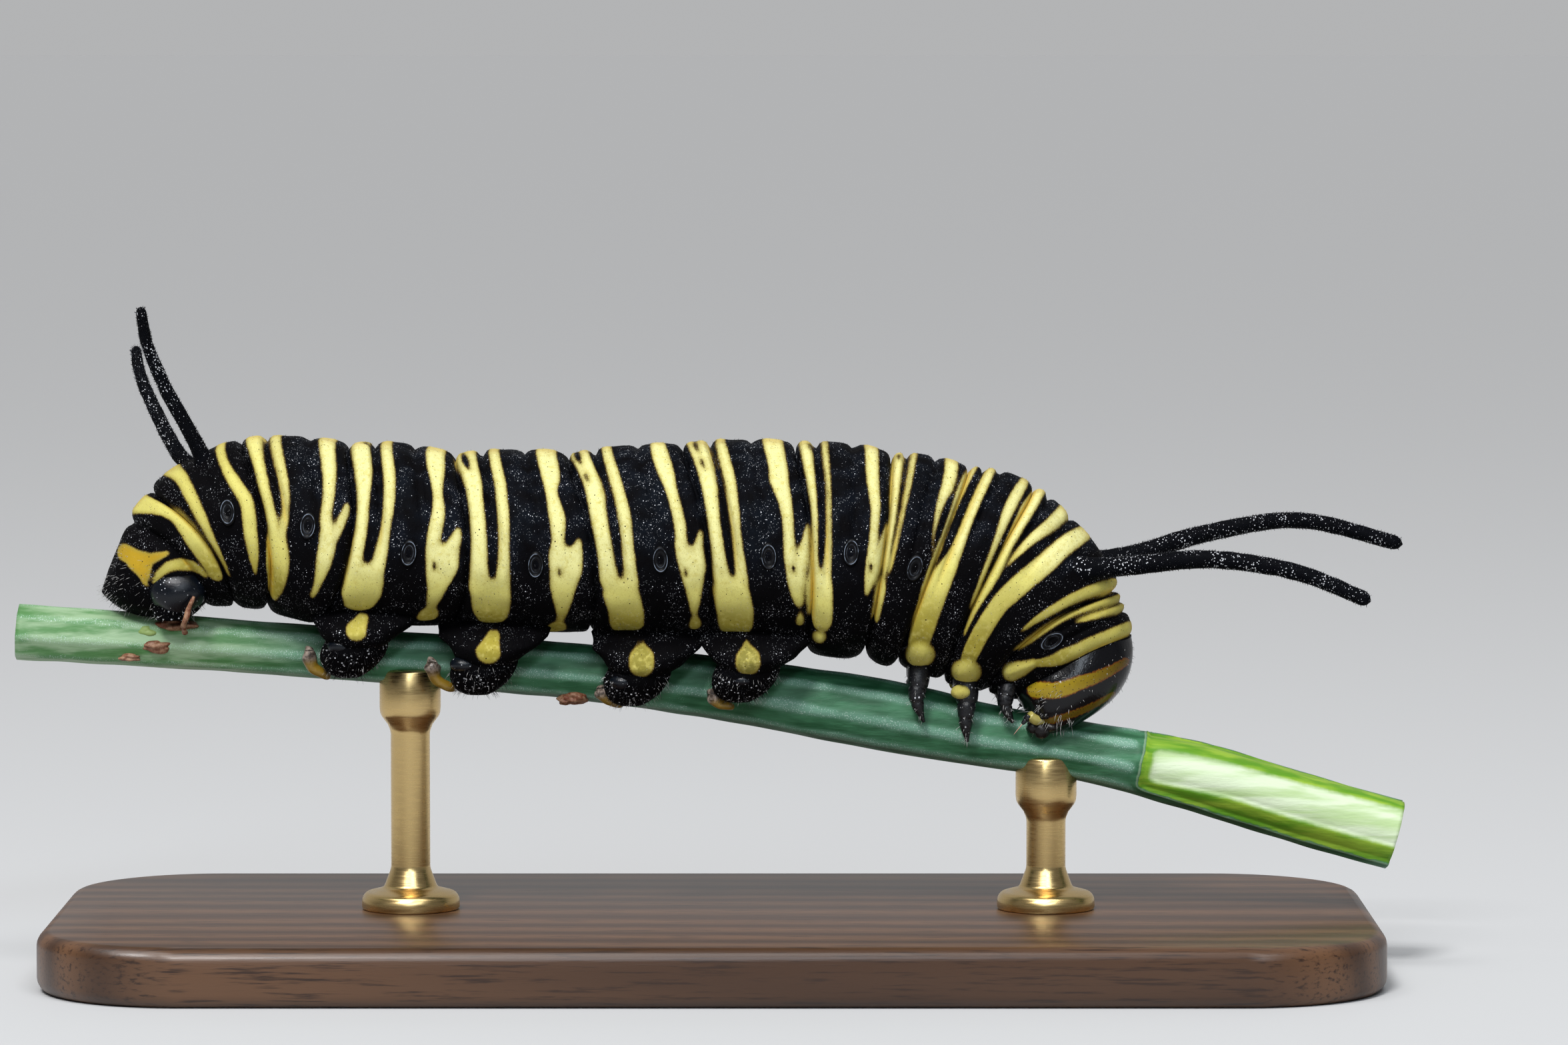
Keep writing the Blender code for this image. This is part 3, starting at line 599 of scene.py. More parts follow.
def head_look():
    """Glossy black head capsule with amber arches."""
    look = Look("head capsule")
    edge = look.kept("stripe") + (look.noise(9.0, 4.0) - 0.5) * 0.16
    amber = look.layers((0.36, 0.26, 0.011), (look.noise(5.0, 4.0), (0.26, 0.18, 0.012)),
                        (look.kept("dull"), (0.075, 0.042, 0.004)))
    specks = look.cells(4.0) < look.noise(1.3).ramp(0.5, 0.7, 0.0, 0.16)
    colour = look.layers(
        (0.0035, 0.0035, 0.0045), (edge.ramp(0.06, 0.0), (0.12, 0.035, 0.004)),
        (edge.ramp(0.02, -0.05), amber),
        ((look.cells(9.0) < 0.20) * edge.ramp(0.0, -0.05), (0.03, 0.018, 0.006)), (specks * 0.6, FLECK))
    lines = look.noise(3.6, 3.0, stretch=(3.4, 1.0, 2.2))
    return look.finish(colour, 0.19, 0.28, look.bump(lines, 0.22, 0.04))


def black_look(name, colour, roughness, speck_cells=0.0, bumpiness=0.3, shine=0.26, biggest=0.20):
    """Black cuticle with an uneven surface, and white flecks where asked."""
    look = Look(name)
    shade = look.layers(colour, (look.noise(2.2, 3.0), tuple(c * 1.9 for c in colour)))
    if speck_cells:
        specks = look.cells(speck_cells) < look.noise(1.4, 3.0).ramp(0.32, 0.66, 0.2 * biggest, biggest)
        shade = look.layers(shade, (specks * 0.75, FLECK))
    return look.finish(shade, look.noise(5.0).ramp(0.3, 0.7, roughness * 0.85, roughness * 1.15), shine,
                       look.bump(look.noise(18.0, 3.0, 0.6), bumpiness, 0.04))


# Trunk

# The neck's rings inside the head: how far ahead of the last fold, and how far out
NECK_STEPS = (0.0, 0.12, 0.25, 0.3)
NECK_HEIGHTS = (0.02, -0.05, -0.30, -0.9)
TAIL_MARKS_END = -20.2                  # the tail's amber marks lie behind this place along X


def trunk_rings():
    """Sections of every ring of the skin from tail to neck, with segment and share along it."""
    tail_shares = np.sin(np.radians(np.linspace(88, 3, TAIL_ROWS)))
    rows = [dome(FOLDS[0], TAIL_END, tail_shares)[0]]
    segment = [np.full(TAIL_ROWS, TAIL)]
    share = [tail_shares]
    for i, data in enumerate(SEGMENTS):
        even = np.arange(data["rings"]) / data["rings"]
        t = even - 0.075 * np.sin(2 * math.pi * even)
        rows.append(FOLDS[i] * (1 - t[:, None]) + FOLDS[i + 1] * t[:, None])
        segment.append(np.full(len(t), i))
        share.append(t)
    rows.append(np.array([shifted(FOLDS[NECK], ahead) for ahead in NECK_STEPS]))
    segment.append(np.full(len(NECK_STEPS), NECK))
    share.append(np.linspace(0, 1, len(NECK_STEPS)))
    return np.vstack(rows), np.concatenate(segment), np.concatenate(share)


def segment_length(i, degrees):
    """Length of a segment between its folds, at an angle from the top."""
    lengths = [np.linalg.norm(FOLDS[i + 1, k:k + 2] - FOLDS[i, k:k + 2]) for k in (0, 2)]
    return np.interp(degrees, [0, 180], lengths)


def trunk_height(segment, share, angle):
    """How far the skin stands out from the line between its folds, and how deep each point is in a crease."""
    degrees = np.degrees(from_top(angle))[None]
    height = np.zeros((len(segment), len(angle)))
    crease = np.zeros_like(height)
    upper = (1 + np.cos(angle))[None] / 2
    for i, data in enumerate(SEGMENTS):
        rows = segment == i
        t = share[rows][:, None]
        length = segment_length(i, degrees)
        back, belly = data["swell"]
        height[rows] = (belly + (back - belly) * upper) * np.sin(math.pi * np.clip(t, 0, 1)) ** 0.30
        for at, depth, width, fade in data["grooves"]:
            groove = np.exp(-(np.abs(t - at) * length / width) ** 1.3)
            groove = groove * (1 - smooth(fade - 18, fade + 6, degrees))
            height[rows] -= depth * groove
            crease[rows] += groove * depth * 2
        for edge in (0, 1):
            fold = np.exp(-(np.abs(t - edge) * length / FOLD_WIDTH) ** 1.2)
            height[rows] -= FOLD_DEPTH * fold
            crease[rows] += fold
    tail = segment == TAIL
    height[tail] = -FOLD_DEPTH * np.exp(-np.arcsin(share[tail]) ** 2 / 0.01)[:, None]
    return height, np.clip(crease, 0, 1)


def trunk_stripes(segment, share, angle):
    """Distance outside the yellow stripes over the skin. A segment's stripes reach onto its neighbours."""
    degrees = np.degrees(from_top(angle))[None]
    distance = np.full((len(segment), len(angle)), FAR)
    for i, data in enumerate(SEGMENTS):
        length = segment_length(i, degrees)
        arc = math.radians(1) * (FOLDS[i, 4] + FOLDS[i + 1, 4]) / 2
        for near in range(max(i - 1, 0), i + 2):
            rows = segment == near
            t = share[rows][:, None] + (near - i)
            found = distance[rows]
            for knots in data["stripes"]:
                found = merge(found, band_distance(t, degrees, length, arc, knots))
            for knots in data.get("holes", ()):
                found = -merge(-found, band_distance(t, degrees, length, arc, knots), 0.03)
            distance[rows] = found
    distance = np.clip(distance, -0.7, 0.7)
    for _ in range(2):
        distance = (np.roll(distance, 1, 1) + 2 * distance + np.roll(distance, -1, 1)) / 4
    padded = np.vstack([distance[:1], distance, distance[-1:]])
    return (padded[:-2] + 4 * distance + padded[2:]) / 6


def trunk():
    """Points of one seamless skin from the tail to the neck, and the values that its finish reads."""
    sections, segment, share = trunk_rings()
    angle = full_turn(SKIN_SIDES)
    height, crease = trunk_height(segment, share, angle)
    flat = rim(sections, angle, height)
    height += 0.035 * ripple(flat, 3) + 0.02 * ripple(flat * 2.3, 4)
    stripe = trunk_stripes(segment, share, angle)
    lobed = np.zeros_like(stripe)
    for stroke in LOBES:
        near = stroke_distance(flat, stroke)
        lobed = np.maximum(lobed, smooth(0.05, -0.15, near))
        height += 0.22 * smooth(0.05, -0.5, near) - 0.06 * np.exp(-((near - 0.02) / 0.09) ** 2)
        stripe = merge(stripe, near, 0.03)
    for stroke in FORK_DOTS:
        stripe = -merge(-stripe, stroke_distance(flat, stroke), 0.03)
    height += 0.035 * smooth(0.05, -0.10, stripe)
    height[segment == NECK] = np.array(NECK_HEIGHTS)[:, None]
    points = rim(sections, angle, height)
    x = points[..., 0]
    amber = np.full(stripe.shape, FAR)
    for stroke in AMBER:
        amber = merge(amber, np.where(x < TAIL_MARKS_END, stroke_distance(points, stroke), FAR))
    pale = np.where(x < TAIL_MARKS_END, stroke_distance(points, CRESCENT), FAR)
    degrees = np.degrees(from_top(angle))[None] * np.ones_like(stripe)
    # The yellow darkens down the sides, partly its own deeper colour and partly painted shade, sooner at both
    # ends of the body, and all over the outermost folds
    early = 28 * smooth(5.0, 9.0, x) + 16 * smooth(10.5, 12.5, x) + 34 * smooth(-15.0, -20.0, x)
    low = smooth(82, 149, degrees + early) - 0.25 * lobed
    folds_on = (segment + share)[:, None]
    ends = np.maximum(0.74 * smooth(10.62, 10.80, folds_on), 0.64 * smooth(3.0, 1.2, folds_on))
    return points, dict(stripe=np.minimum(stripe, np.minimum(amber, pale)), amber=amber,
                        low=np.maximum(low, ends), crease=crease, crown=smooth(20, 2, degrees))


SKIN_POINTS, skin_values = trunk()
SKIN_STRIPE = skin_values["stripe"]


# Stem

def stem_axis(x):
    """Height of the stem's middle line and its radius at places along X."""
    line = curve(STEM, 120)
    return np.interp(x, line[:, 0], line[:, 1]), np.interp(x, line[:, 0], line[:, 2])


def clear_stem(points, gap=0.03):
    """Moves points that lie inside the stem out to its bark."""
    height, radius = stem_axis(points[..., 0])
    across, above = points[..., 1], points[..., 2] - height
    distance = np.maximum(np.hypot(across, above), 1e-6)
    factor = np.maximum(1, (radius * 1.02 + gap) / distance)
    return np.stack([points[..., 0], across * factor, height + above * factor], -1)


def window_distance(x, turn, start, low, high):
    """Distance outside a window of the stem that runs on to its front end, by place along X and turn up from
    the camera's side. Low and high are its bounds at three places along X."""
    places, corner = (17.9, 21.2, 27.9), 0.45
    low, high = np.interp(x, places, low), np.interp(x, places, high)
    across = (np.abs(turn - (low + high) / 2) - (high - low) / 2) * 0.025 + corner
    behind = start + corner - x
    outside = np.hypot(np.maximum(across, 0), np.maximum(behind, 0))
    return outside + np.minimum(np.maximum(across, behind), 0) - corner


# Leaf scar, sheath and wound near the rear end, and a broken side shoot: place, radii, and how dry and brown
STEM_LUMPS = [
    ((-21.85, -0.75, 14.12), (0.82, 0.50, 0.26), 1.0), ((-23.05, -0.60, 13.86), (0.56, 0.46, 0.32), 0.30),
    ((-22.65, -0.98, 13.28), (0.62, 0.30, 0.26), 1.0), ((-23.75, -0.90, 12.82), (0.42, 0.20, 0.16), 0.8),
    ((-5.62, -0.60, 11.16), (0.58, 0.44, 0.30), 0.85), ((-6.04, -0.66, 11.06), (0.32, 0.28, 0.22), 1.0),
]
# The dry bract at the leaf scar: a blade through (x, y, z, radius)
BRACT = [(-21.42, -2.10, 13.95, .13), (-21.36, -2.72, 14.40, .13), (-21.18, -2.78, 14.95, .12),
         (-20.98, -2.70, 15.45, .05)]


def build_stem():
    line = curve(STEM, STEM_ROWS)
    ahead = unit(np.gradient(line[:, :2], axis=0))
    turn = full_turn(STEM_SIDES)
    degrees = (np.degrees(turn) + 180) % 360 - 180
    degrees = np.where(degrees < -90, degrees + 360, degrees)[None]
    x = line[:, 0, None] * np.ones_like(turn)
    peel = window_distance(x, degrees, 17.45, (-48, -54, -55), (104, 112, 118))
    pith = window_distance(x, degrees, 17.75, (-33, -22, -24), (45, 51, 59))
    ribs = (0.5 + 0.5 * np.cos(8 * turn + 0.9)[None]) ** 1.6 * smooth(0.1, 0.5, peel)
    radius = line[:, 2, None] * (1 + 0.05 * (ribs - 0.6))
    radius = radius + 0.016 * ripple(np.stack([x, radius * np.cos(turn), radius * np.sin(turn)], -1), 11)
    radius = radius - 0.12 * smooth(0.03, -0.10, peel) + 0.05 * np.exp(-((peel - 0.05) / 0.10) ** 2)
    radius = radius - 0.10 * smooth(0.0, -0.25, pith)
    out, above = -radius * np.cos(turn), radius * np.sin(turn)
    points = np.stack([x - above * ahead[:, 1, None], out, line[:, 1, None] + above * ahead[:, 0, None]], -1)
    stem = Surface()
    stem.add_rows(points, peel=np.append(peel, (FAR, -0.5)), pith=np.append(pith, (FAR, -0.5)),
                  rib=np.append(ribs, (0, 0)), dry=0.0)
    for centre, radii, dry in STEM_LUMPS:
        stem.add(*lump(centre, radii, 44, 28, 0.22, 12), peel=FAR, pith=FAR, rib=0.5, dry=dry)
    blade = curve(BRACT, 40)
    stem.add_rows(tube(blade[:, :3], blade[:, 3], 24, 0.05, 3.0, 14), peel=FAR, pith=FAR, rib=0.5, dry=0.8)
    return stem.mesh("stem")


def stem_look():
    """Green skin with a pale bloom on its ribs, and bare cortex and pith where the skin is peeled off."""
    look = Look("plant stem")
    frayed = (look.noise(3.0, 3.0) - 0.5) * 0.12
    peel, pith, dry = look.kept("peel") + frayed, look.kept("pith") + frayed, look.kept("dry")
    streak = look.noise(2.2, 4.0, stretch=(0.22, 1.0, 1.0))
    bloom = (look.kept("rib") * 0.6 + look.noise(0.7, 4.0, stretch=(0.5, 1.0, 1.0))).ramp(0.55, 1.15)
    # The stem turns a paler yellowish green towards its rear end
    rearward = look.node("ShaderNodeSeparateXYZ", {"Vector": look.point()}).ramp(-14.0, -22.0, 0.0, 0.75)
    paler_rear = look.layers((0.10, 0.25, 0.075), (streak.ramp(0.38, 0.62), (0.33, 0.46, 0.27)))
    spread = (bloom + look.noise(1.5, 3.0)).ramp(0.35, 1.25, 0.03, 0.26)
    specks = (look.cells(7.0) < spread * 0.6).at_least(look.cells(15.0) < spread)
    bark = look.layers(
        (0.015, 0.085, 0.034), (streak.ramp(0.3, 0.7), (0.052, 0.185, 0.090)),
        (bloom * 0.8, (0.17, 0.34, 0.25)), (rearward, paler_rear), (specks * 0.6, (0.50, 0.62, 0.56)))
    long_streak = look.noise(2.4, 3.0, stretch=(0.07, 1.0, 1.0))
    core = look.layers((0.40, 0.54, 0.26), (long_streak.ramp(0.35, 0.62), (0.60, 0.70, 0.49)))
    bare = look.layers((0.10, 0.27, 0.012), (long_streak.ramp(0.35, 0.65), (0.26, 0.42, 0.035)),
                       (pith.ramp(0.02, -0.22), core))
    patches = look.noise(3.4, 4.0, 0.7).ramp(0.36, 0.68)
    brown = look.layers((0.12, 0.030, 0.012), (patches, (0.32, 0.185, 0.11)))
    colour = look.layers(
        bark, (peel.ramp(0.02, -0.03), bare),
        (abs(peel - 0.06).ramp(0.07, 0.01, 0.0, 0.55), (0.30, 0.42, 0.28)),
        (dry.ramp(0.2, 0.35), (0.24, 0.31, 0.07)), (dry.ramp(0.4, 0.8), brown))
    fibres = look.noise(8.0, 4.0, stretch=(0.25, 1.0, 1.0))
    return look.finish(colour, 0.5, 0.3, look.bump(fibres, 0.35, 0.06))


# Prolegs, joined to the skin

# Middle of each proleg's upper lobe as (x, z)
PROLEGS = {3: (1.55, 13.20), 4: (-2.85, 13.05), 5: (-9.05, 13.50), 6: (-14.30, 14.20)}
# Lobe and foot as (ahead, from the middle plane, above, half length, half thickness)
LOBE = [(0.30, 1.30, 1.55, 1.90, 0.45), (0.24, 1.58, 0.95, 2.25, 0.62), (0.16, 2.22, 0.40, 2.20, 0.92),
        (0.08, 2.58, -0.05, 1.86, 1.04), (0.02, 2.72, -0.45, 1.44, 0.95), (0.00, 2.68, -0.78, 0.98, 0.78),
        (0.02, 2.52, -1.00, 0.58, 0.50)]
FOOT = [(-0.05, 2.20, 0.10, 1.00, 0.70), (-0.12, 2.52, -0.60, 1.28, 0.88), (-0.28, 2.55, -1.10, 1.30, 0.86),
        (-0.42, 2.42, -1.55, 1.12, 0.74), (-0.52, 2.28, -1.90, 0.78, 0.52), (-0.50, 2.20, -2.08, 0.42, 0.32)]
PROLEG_SPOTS = {
    3: [(1.38, 13.58, .12), (1.43, 12.99, .48), (1.43, 12.83, .50)],
    4: [(-2.91, 13.58, .12), (-2.86, 12.99, .50), (-2.86, 12.77, .50)],
    5: [(-8.87, 13.85, .27), (-9.03, 13.31, .50)],
    6: [(-14.16, 14.57, .25), (-14.35, 14.17, .43)],
}
SPOT_DEPTHS = {3: 1.62, 4: 1.50, 5: 1.15, 6: 0.85}   # how deep the yellow of each spot is
ANAL_PLACE = (-21.40, 15.70)
ANAL_SHAPE = [(0.20, 0.80, 1.00, 0.60, 0.40), (0.10, 1.15, 0.50, 0.95, 0.55),
              (-0.10, 1.55, -0.25, 1.02, 0.60), (-0.40, 1.72, -0.85, 0.94, 0.50),
              (-0.60, 1.70, -1.30, 0.58, 0.34)]


def fleshy(at, shape, side, sides, rows, seed, wrinkle=0.10):
    """A lobe or a foot through level rings, as rows of points."""
    ahead, out, above, length, thickness = curve(shape, rows).T[..., None]
    turn = full_turn(sides)
    points = np.stack([at[0] + ahead + length * np.cos(turn), side * (out + thickness * np.sin(turn)),
                       at[1] + above + 0 * turn], -1)
    outward = unit(points - points.mean(1, keepdims=True))
    creased = -np.abs(ripple(points * np.array([0.7, 0.7, 1.7]), seed)) * 1.6 + 0.8
    return clear_stem(points + outward * (wrinkle * creased)[..., None])


def foot(number, side):
    return fleshy(PROLEGS[number], FOOT, side, FOOT_SIDES, FOOT_ROWS, number + 10 * side + 47, 0.03)


def tail_foot(side):
    return fleshy(ANAL_PLACE, ANAL_SHAPE, side, FOOT_SIDES, FOOT_ROWS, 31 + side, 0.03)


def add_fleshy(surface, rows, gloss_at=None, spot=None, depth=0.5):
    """Adds a foot that is glossy around a place, or a lobe with a spot of yellow."""
    middles = rows.mean(1)
    first = middles[0] + (middles[0] - middles[1]) * 0.3
    last = middles[-1] + (middles[-1] - middles[-2]) * 0.5
    verts, faces = closed_rows(rows, clear_stem(first), clear_stem(last))
    stripe, gloss = FAR, 0.0
    if spot:
        stripe = np.where(np.abs(verts[:, 1]) > 1.9, stroke_distance(verts, spot), FAR)
    if gloss_at:
        away = np.hypot((verts[:, 0] - gloss_at[0]) / 0.9, (verts[:, 2] - gloss_at[1]) / 0.5)
        gloss = smooth(1.0, 0.55, away)
    surface.add(verts, faces, stripe=stripe, amber=FAR, low=depth, foot=0.0 if spot else 1.0, gloss=gloss)


def build_skin():
    """The trunk with its prolegs, its tail's feet and the small lobe over each middle leg."""
    skin = Surface()
    middles = SKIN_POINTS.mean(1)
    tip = middles[0] + (middles[0] - middles[1]) * 0.2
    values = {name: np.append(grid, [grid[0].mean(), grid[-1].mean()]) for name, grid in skin_values.items()}
    skin.add_rows(SKIN_POINTS, tip, middles[-1], foot=0.0, gloss=0.0, **values)
    for _, side in SIDES:
        for number, (x, z) in PROLEGS.items():
            lobe = fleshy((x, z), LOBE, side, 54, 28, number + 10 * side + 40)
            add_fleshy(skin, lobe, spot=PROLEG_SPOTS[number], depth=SPOT_DEPTHS[number])
            add_fleshy(skin, foot(number, side), (x - 0.65, z - 0.72))
        add_fleshy(skin, tail_foot(side), (ANAL_PLACE[0] + 0.1, ANAL_PLACE[1] - 0.2))
    for _, side in SIDES:
        skin.add(*lump((10.06, side * 1.98, 11.50), (0.40, 0.42, 0.30), 36, 24, 0.05, 23),
                 stripe=-0.12, amber=FAR, low=0.7)
    return skin.mesh("larva_skin")


# Head

# The outer and the inner amber arch of each cheek, as strokes of (x, z, radius)
HEAD_ARCH = [(16.77, 12.66, .14), (15.96, 12.29, .20), (15.42, 12.07, .23), (14.88, 11.91, .27),
             (14.34, 11.69, .30), (13.90, 11.58, .32), (13.10, 11.58, .34)]
HEAD_INNER = [(16.26, 11.36, .08), (15.72, 11.08, .11), (15.18, 10.81, .13), (14.37, 10.52, .13),
              (13.55, 10.27, .12)]


def build_head():
    shares = np.sin(np.radians(np.linspace(0, 88.5, HEAD_ROWS)))
    sections, turns = dome(FOLDS[NECK], HEAD_END, shares)
    angle = full_turn(HEAD_SIDES)
    down = from_top(angle)[None]
    height = -0.07 * np.exp(-(down / 0.045) ** 2) * smooth(0.1, 0.4, shares)[:, None]
    height += 0.012 * ripple(rim(sections, angle, height) * 1.6, 21)
    points = rim(sections, angle, height)
    points[..., 1] += turns[:, None]
    cheek = smooth(0.5, 0.0, shares)[:, None] * np.exp(-((points[..., 2] - 11.50) / 0.60) ** 2)
    points[..., 0] -= 0.45 * cheek
    points[..., 1] *= 1 + 0.05 * cheek
    points = clear_stem(points, 0.05)
    inner = stroke_distance(points, HEAD_INNER)
    stripe = np.minimum(stroke_distance(points, HEAD_ARCH), inner)
    stripe = np.maximum(stripe, 0.12 - down * 1.2)
    dull = np.maximum(0.8 * smooth(0.10, -0.05, inner), smooth(13.0, 17.2, points[..., 0]))
    head = Surface()
    head.add_rows(points, end=clear_stem(points[-1].mean(0)), stripe=np.append(stripe, [FAR, FAR]),
                  dull=np.append(dull, [0, 0]))
    return head.mesh("head_capsule")


# Tentacles and legs

TENTACLES = {
    "tentacle_front_right": [(13.2, -1.45, 16.10), (14.5, -1.84, 16.40), (16.9, -2.0, 16.65),
                             (20.2, -2.7, 16.95), (23.6, -3.2, 16.45), (26.55, -3.4, 15.3)],
    "tentacle_front_left": [(13.2, 1.45, 16.05), (14.5, 1.84, 16.38), (17.1, 2.2, 16.75), (20.3, 3.0, 17.60),
                            (24.2, 3.5, 18.1), (28.45, 3.6, 17.1)],
    "tentacle_rear_right": [(-19.8, -0.7, 19.2), (-20.5, -0.98, 20.5), (-21.15, -1.3, 21.9),
                            (-22.15, -1.7, 23.8), (-22.85, -2.1, 25.6), (-23.1, -2.4, 27.15)],
    "tentacle_rear_left": [(-19.9, 0.7, 19.2), (-21.1, 1.3, 20.2), (-22.0, 1.9, 21.0), (-23.05, 3.2, 22.7),
                           (-23.75, 4.3, 24.1), (-24.0, 4.9, 25.25)],
}
LEGS = {
    1: [(12.05, 1.05, 12.40, .50), (11.95, 1.52, 11.55, .40), (11.86, 1.72, 11.10, .33),
        (11.95, 1.78, 10.68, .22), (12.18, 1.75, 10.22, .05)],
    2: [(10.20, 1.30, 12.40, .56), (10.30, 1.72, 11.32, .47), (10.28, 1.90, 10.72, .37),
        (10.26, 1.94, 10.05, .24), (10.33, 1.92, 9.46, .05)],
    3: [(8.42, 1.40, 12.90, .50), (8.34, 1.75, 11.98, .44), (8.26, 1.93, 11.38, .34),
        (8.36, 1.97, 10.80, .22), (8.56, 1.95, 10.27, .05)],
}


def filament_radii(name):
    """Radii of a tentacle's root and tip."""
    return (0.46, 0.30) if "front" in name else (0.37, 0.21)


def build_tentacle(name):
    root, tip = filament_radii(name)
    line = curve(TENTACLES[name], FILAMENT_ROWS)
    s = np.linspace(0, 1, FILAMENT_ROWS)
    radii = tip + (root - tip) * (1 - s) + 0.50 * root * np.exp(-(np.maximum(s - 0.21, 0) / 0.065) ** 2)
    left = np.linalg.norm(line - line[-1], axis=1)
    radii *= np.sqrt(1 - np.clip(1 - left / (tip * 1.4), 0, 0.995) ** 2)
    rows = tube(line, radii, 28, 0.016, 3.0, 5)
    return Surface().add_rows(rows, line[0], line[-1]).mesh(name)


def build_leg(number, side):
    """A leg with narrow places at its two joints."""
    knots = np.array(LEGS[number]) * (1, side, 1, 1)
    values = curve(knots, 60)
    s = np.linspace(0, len(knots) - 1, 60)
    joint = np.exp(-(np.abs(s - 1.5) / 0.13) ** 2) + np.exp(-(np.abs(s - 2.5) / 0.12) ** 2)
    rows = clear_stem(tube(values[:, :3], values[:, 3] * (1 - 0.13 * joint), 32, 0.014, 2.5, 8))
    return Surface().add_rows(rows, end=clear_stem(rows[-1].mean(0))).mesh(f"leg_{number}")


# Breathing holes

# Middles as (x, z), and the turn of the long axis from upright, in degrees
SPIRACLES = [(-19.47, 18.90, -8), (-16.25, 18.36, 4), (-12.12, 17.42, 8), (-7.15, 16.89, 3),
             (-2.05, 16.97, -2), (2.24, 17.24, -2), (5.59, 17.34, 5), (8.14, 16.57, 16), (13.72, 13.66, 62)]
HOLE_SHORT, HOLE_LONG = 0.31, 0.52
# The hole's profile as (share of its radius, height)
SPIRACLE_RINGS = [(1.12, -0.10), (1.08, 0.00), (0.98, 0.07), (0.88, 0.085), (0.78, 0.05), (0.70, 0.02),
                  (0.62, 0.035), (0.50, 0.02), (0.30, -0.02), (0.12, -0.05)]
HOLE_SIDES = 40


def on_skin(x, z, side):
    """Where the skin is at (x, z) on one side of the body, and the way it faces there."""
    points = SKIN_POINTS
    reach = np.hypot(points[..., 0] - x, points[..., 2] - z) + np.where(points[..., 1] * side > 0.5, 0, FAR)
    i, j = np.unravel_index(np.argmin(reach), reach.shape)
    across = points[i, (j + 2) % SKIN_SIDES] - points[i, j - 2]
    facing = unit(np.cross(across, points[i + 3, j] - points[i - 3, j]))
    return points[i, j], -facing if facing[1] * side < 0 else facing


def build_spiracles():
    piece = Surface()
    turn = full_turn(HOLE_SIDES)[:, None]
    shares = np.repeat([share for share, _ in SPIRACLE_RINGS], HOLE_SIDES)
    for _, side in SIDES:
        for x, z, tilt in SPIRACLES:
            at, facing = on_skin(x, z, side)
            long_way = np.array([math.sin(math.radians(tilt)), 0, math.cos(math.radians(tilt))])
            long_way = unit(long_way - facing * (long_way @ facing))
            short_way = np.cross(facing, long_way)
            oval = HOLE_SHORT * np.cos(turn) * short_way + HOLE_LONG * np.sin(turn) * long_way
            rows = np.array([at + facing * height + share * oval for share, height in SPIRACLE_RINGS])
            piece.add_rows(rows, at - facing * 0.15, at - facing * 0.08, share=np.append(shares, [1.2, 0.0]))
    return piece.mesh("spiracles")


def spiracle_look():
    """Black rims with a broken line of light on each and a faint one within."""
    look = Look("spiracle rims")
    share = look.kept("share")
    line = abs(share - 0.90).ramp(0.055, 0.015) + abs(share - 0.60).ramp(0.06, 0.02, 0.0, 0.22)
    line = line * look.noise(3.0, 3.0).ramp(0.40, 0.60, 0.05, 1.0)
    return look.finish(look.layers((0.0025, 0.0025, 0.0032), (line, (0.17, 0.20, 0.25))), 0.42, 0.12)


# Pads and plates of the feet, feelers, mouthparts and eyes

# The pad behind each foot as (x, z) of its wrinkled upper tip and of its lower end
PADS = {3: ((0.02, 11.38), (0.62, 10.94)), 4: ((-4.45, 11.58), (-3.90, 11.04)),
        5: ((-11.42, 12.60), (-10.72, 11.70)), 6: ((-16.38, 13.08), (-15.78, 12.20))}
# How far from the middle plane, and how thick, a pad is at its five places
PAD_OUT = (1.90, 2.00, 2.00, 1.9, 1.6)
PAD_RADII = (0.14, 0.31, 0.23, 0.19, 0.10)
PAD_SIDES = 28


def build_pads():
    piece = Surface()
    for _, side in SIDES:
        for number, ends in PADS.items():
            top, bottom = np.array(ends)
            across = np.array([bottom[1] - top[1], top[0] - bottom[0]])
            line = [top + (0.05, 0.20), top, top + (bottom - top) * 0.5 + across * 0.18, bottom,
                    bottom + (0.25, -0.10)]
            knots = [(x, side * out, z, radius) for (x, z), out, radius in zip(line, PAD_OUT, PAD_RADII)]
            values = curve(knots, 46)
            s = np.linspace(0, 1, 46)
            rough = (0.03 + 0.13 * smooth(0.45, 0.25, s))[:, None]
            radii = values[:, 3] * np.minimum(1, (1.02 - s) * 8)
            rows = clear_stem(tube(values[:, :3], radii, PAD_SIDES, rough, 3.2, number + side))
            tip = np.append(np.repeat(smooth(0.46, 0.32, s), PAD_SIDES), [1, 0])
            piece.add_rows(rows, end=clear_stem(rows[-1].mean(0)), tip=tip)
    return piece.mesh("foot_pads")


def pad_look():
    """Amber flesh with a dry wrinkled tip."""
    look = Look("foot pads")
    flesh = look.layers((0.29, 0.18, 0.016), (look.noise(3.0, 3.0), (0.13, 0.07, 0.008)))
    patches = look.noise(4.0, 4.0, 0.7).ramp(0.35, 0.65)
    dry = look.layers((0.022, 0.014, 0.010), (patches, (0.30, 0.235, 0.19)))
    return look.finish(look.layers(flesh, (look.kept("tip"), dry)), 0.3,
                       normal=look.bump(look.noise(9.0, 3.0), 0.4, 0.05))


# Shiny plates on the feet and on the tail's feet: middles as (x, from the middle plane, z) and radii
SHIELDS = [((-15.00, 2.95, 13.46), (0.60, 0.50, 0.34)), ((-10.05, 2.95, 12.72), (0.60, 0.50, 0.34)),
           ((-3.62, 2.95, 12.02), (0.58, 0.50, 0.34)), ((1.22, 2.95, 12.10), (0.62, 0.50, 0.32)),
           ((-21.72, 1.85, 15.58), (1.15, 0.85, 0.88))]


def build_shields():
    piece = Surface()
    for _, side in SIDES:
        for (x, out, z), radii in SHIELDS:
            verts, faces = lump((x, side * out, z), radii, 48, 30, 0.03, 19)
            piece.add(clear_stem(verts), faces)
    return piece.mesh("foot_shields")


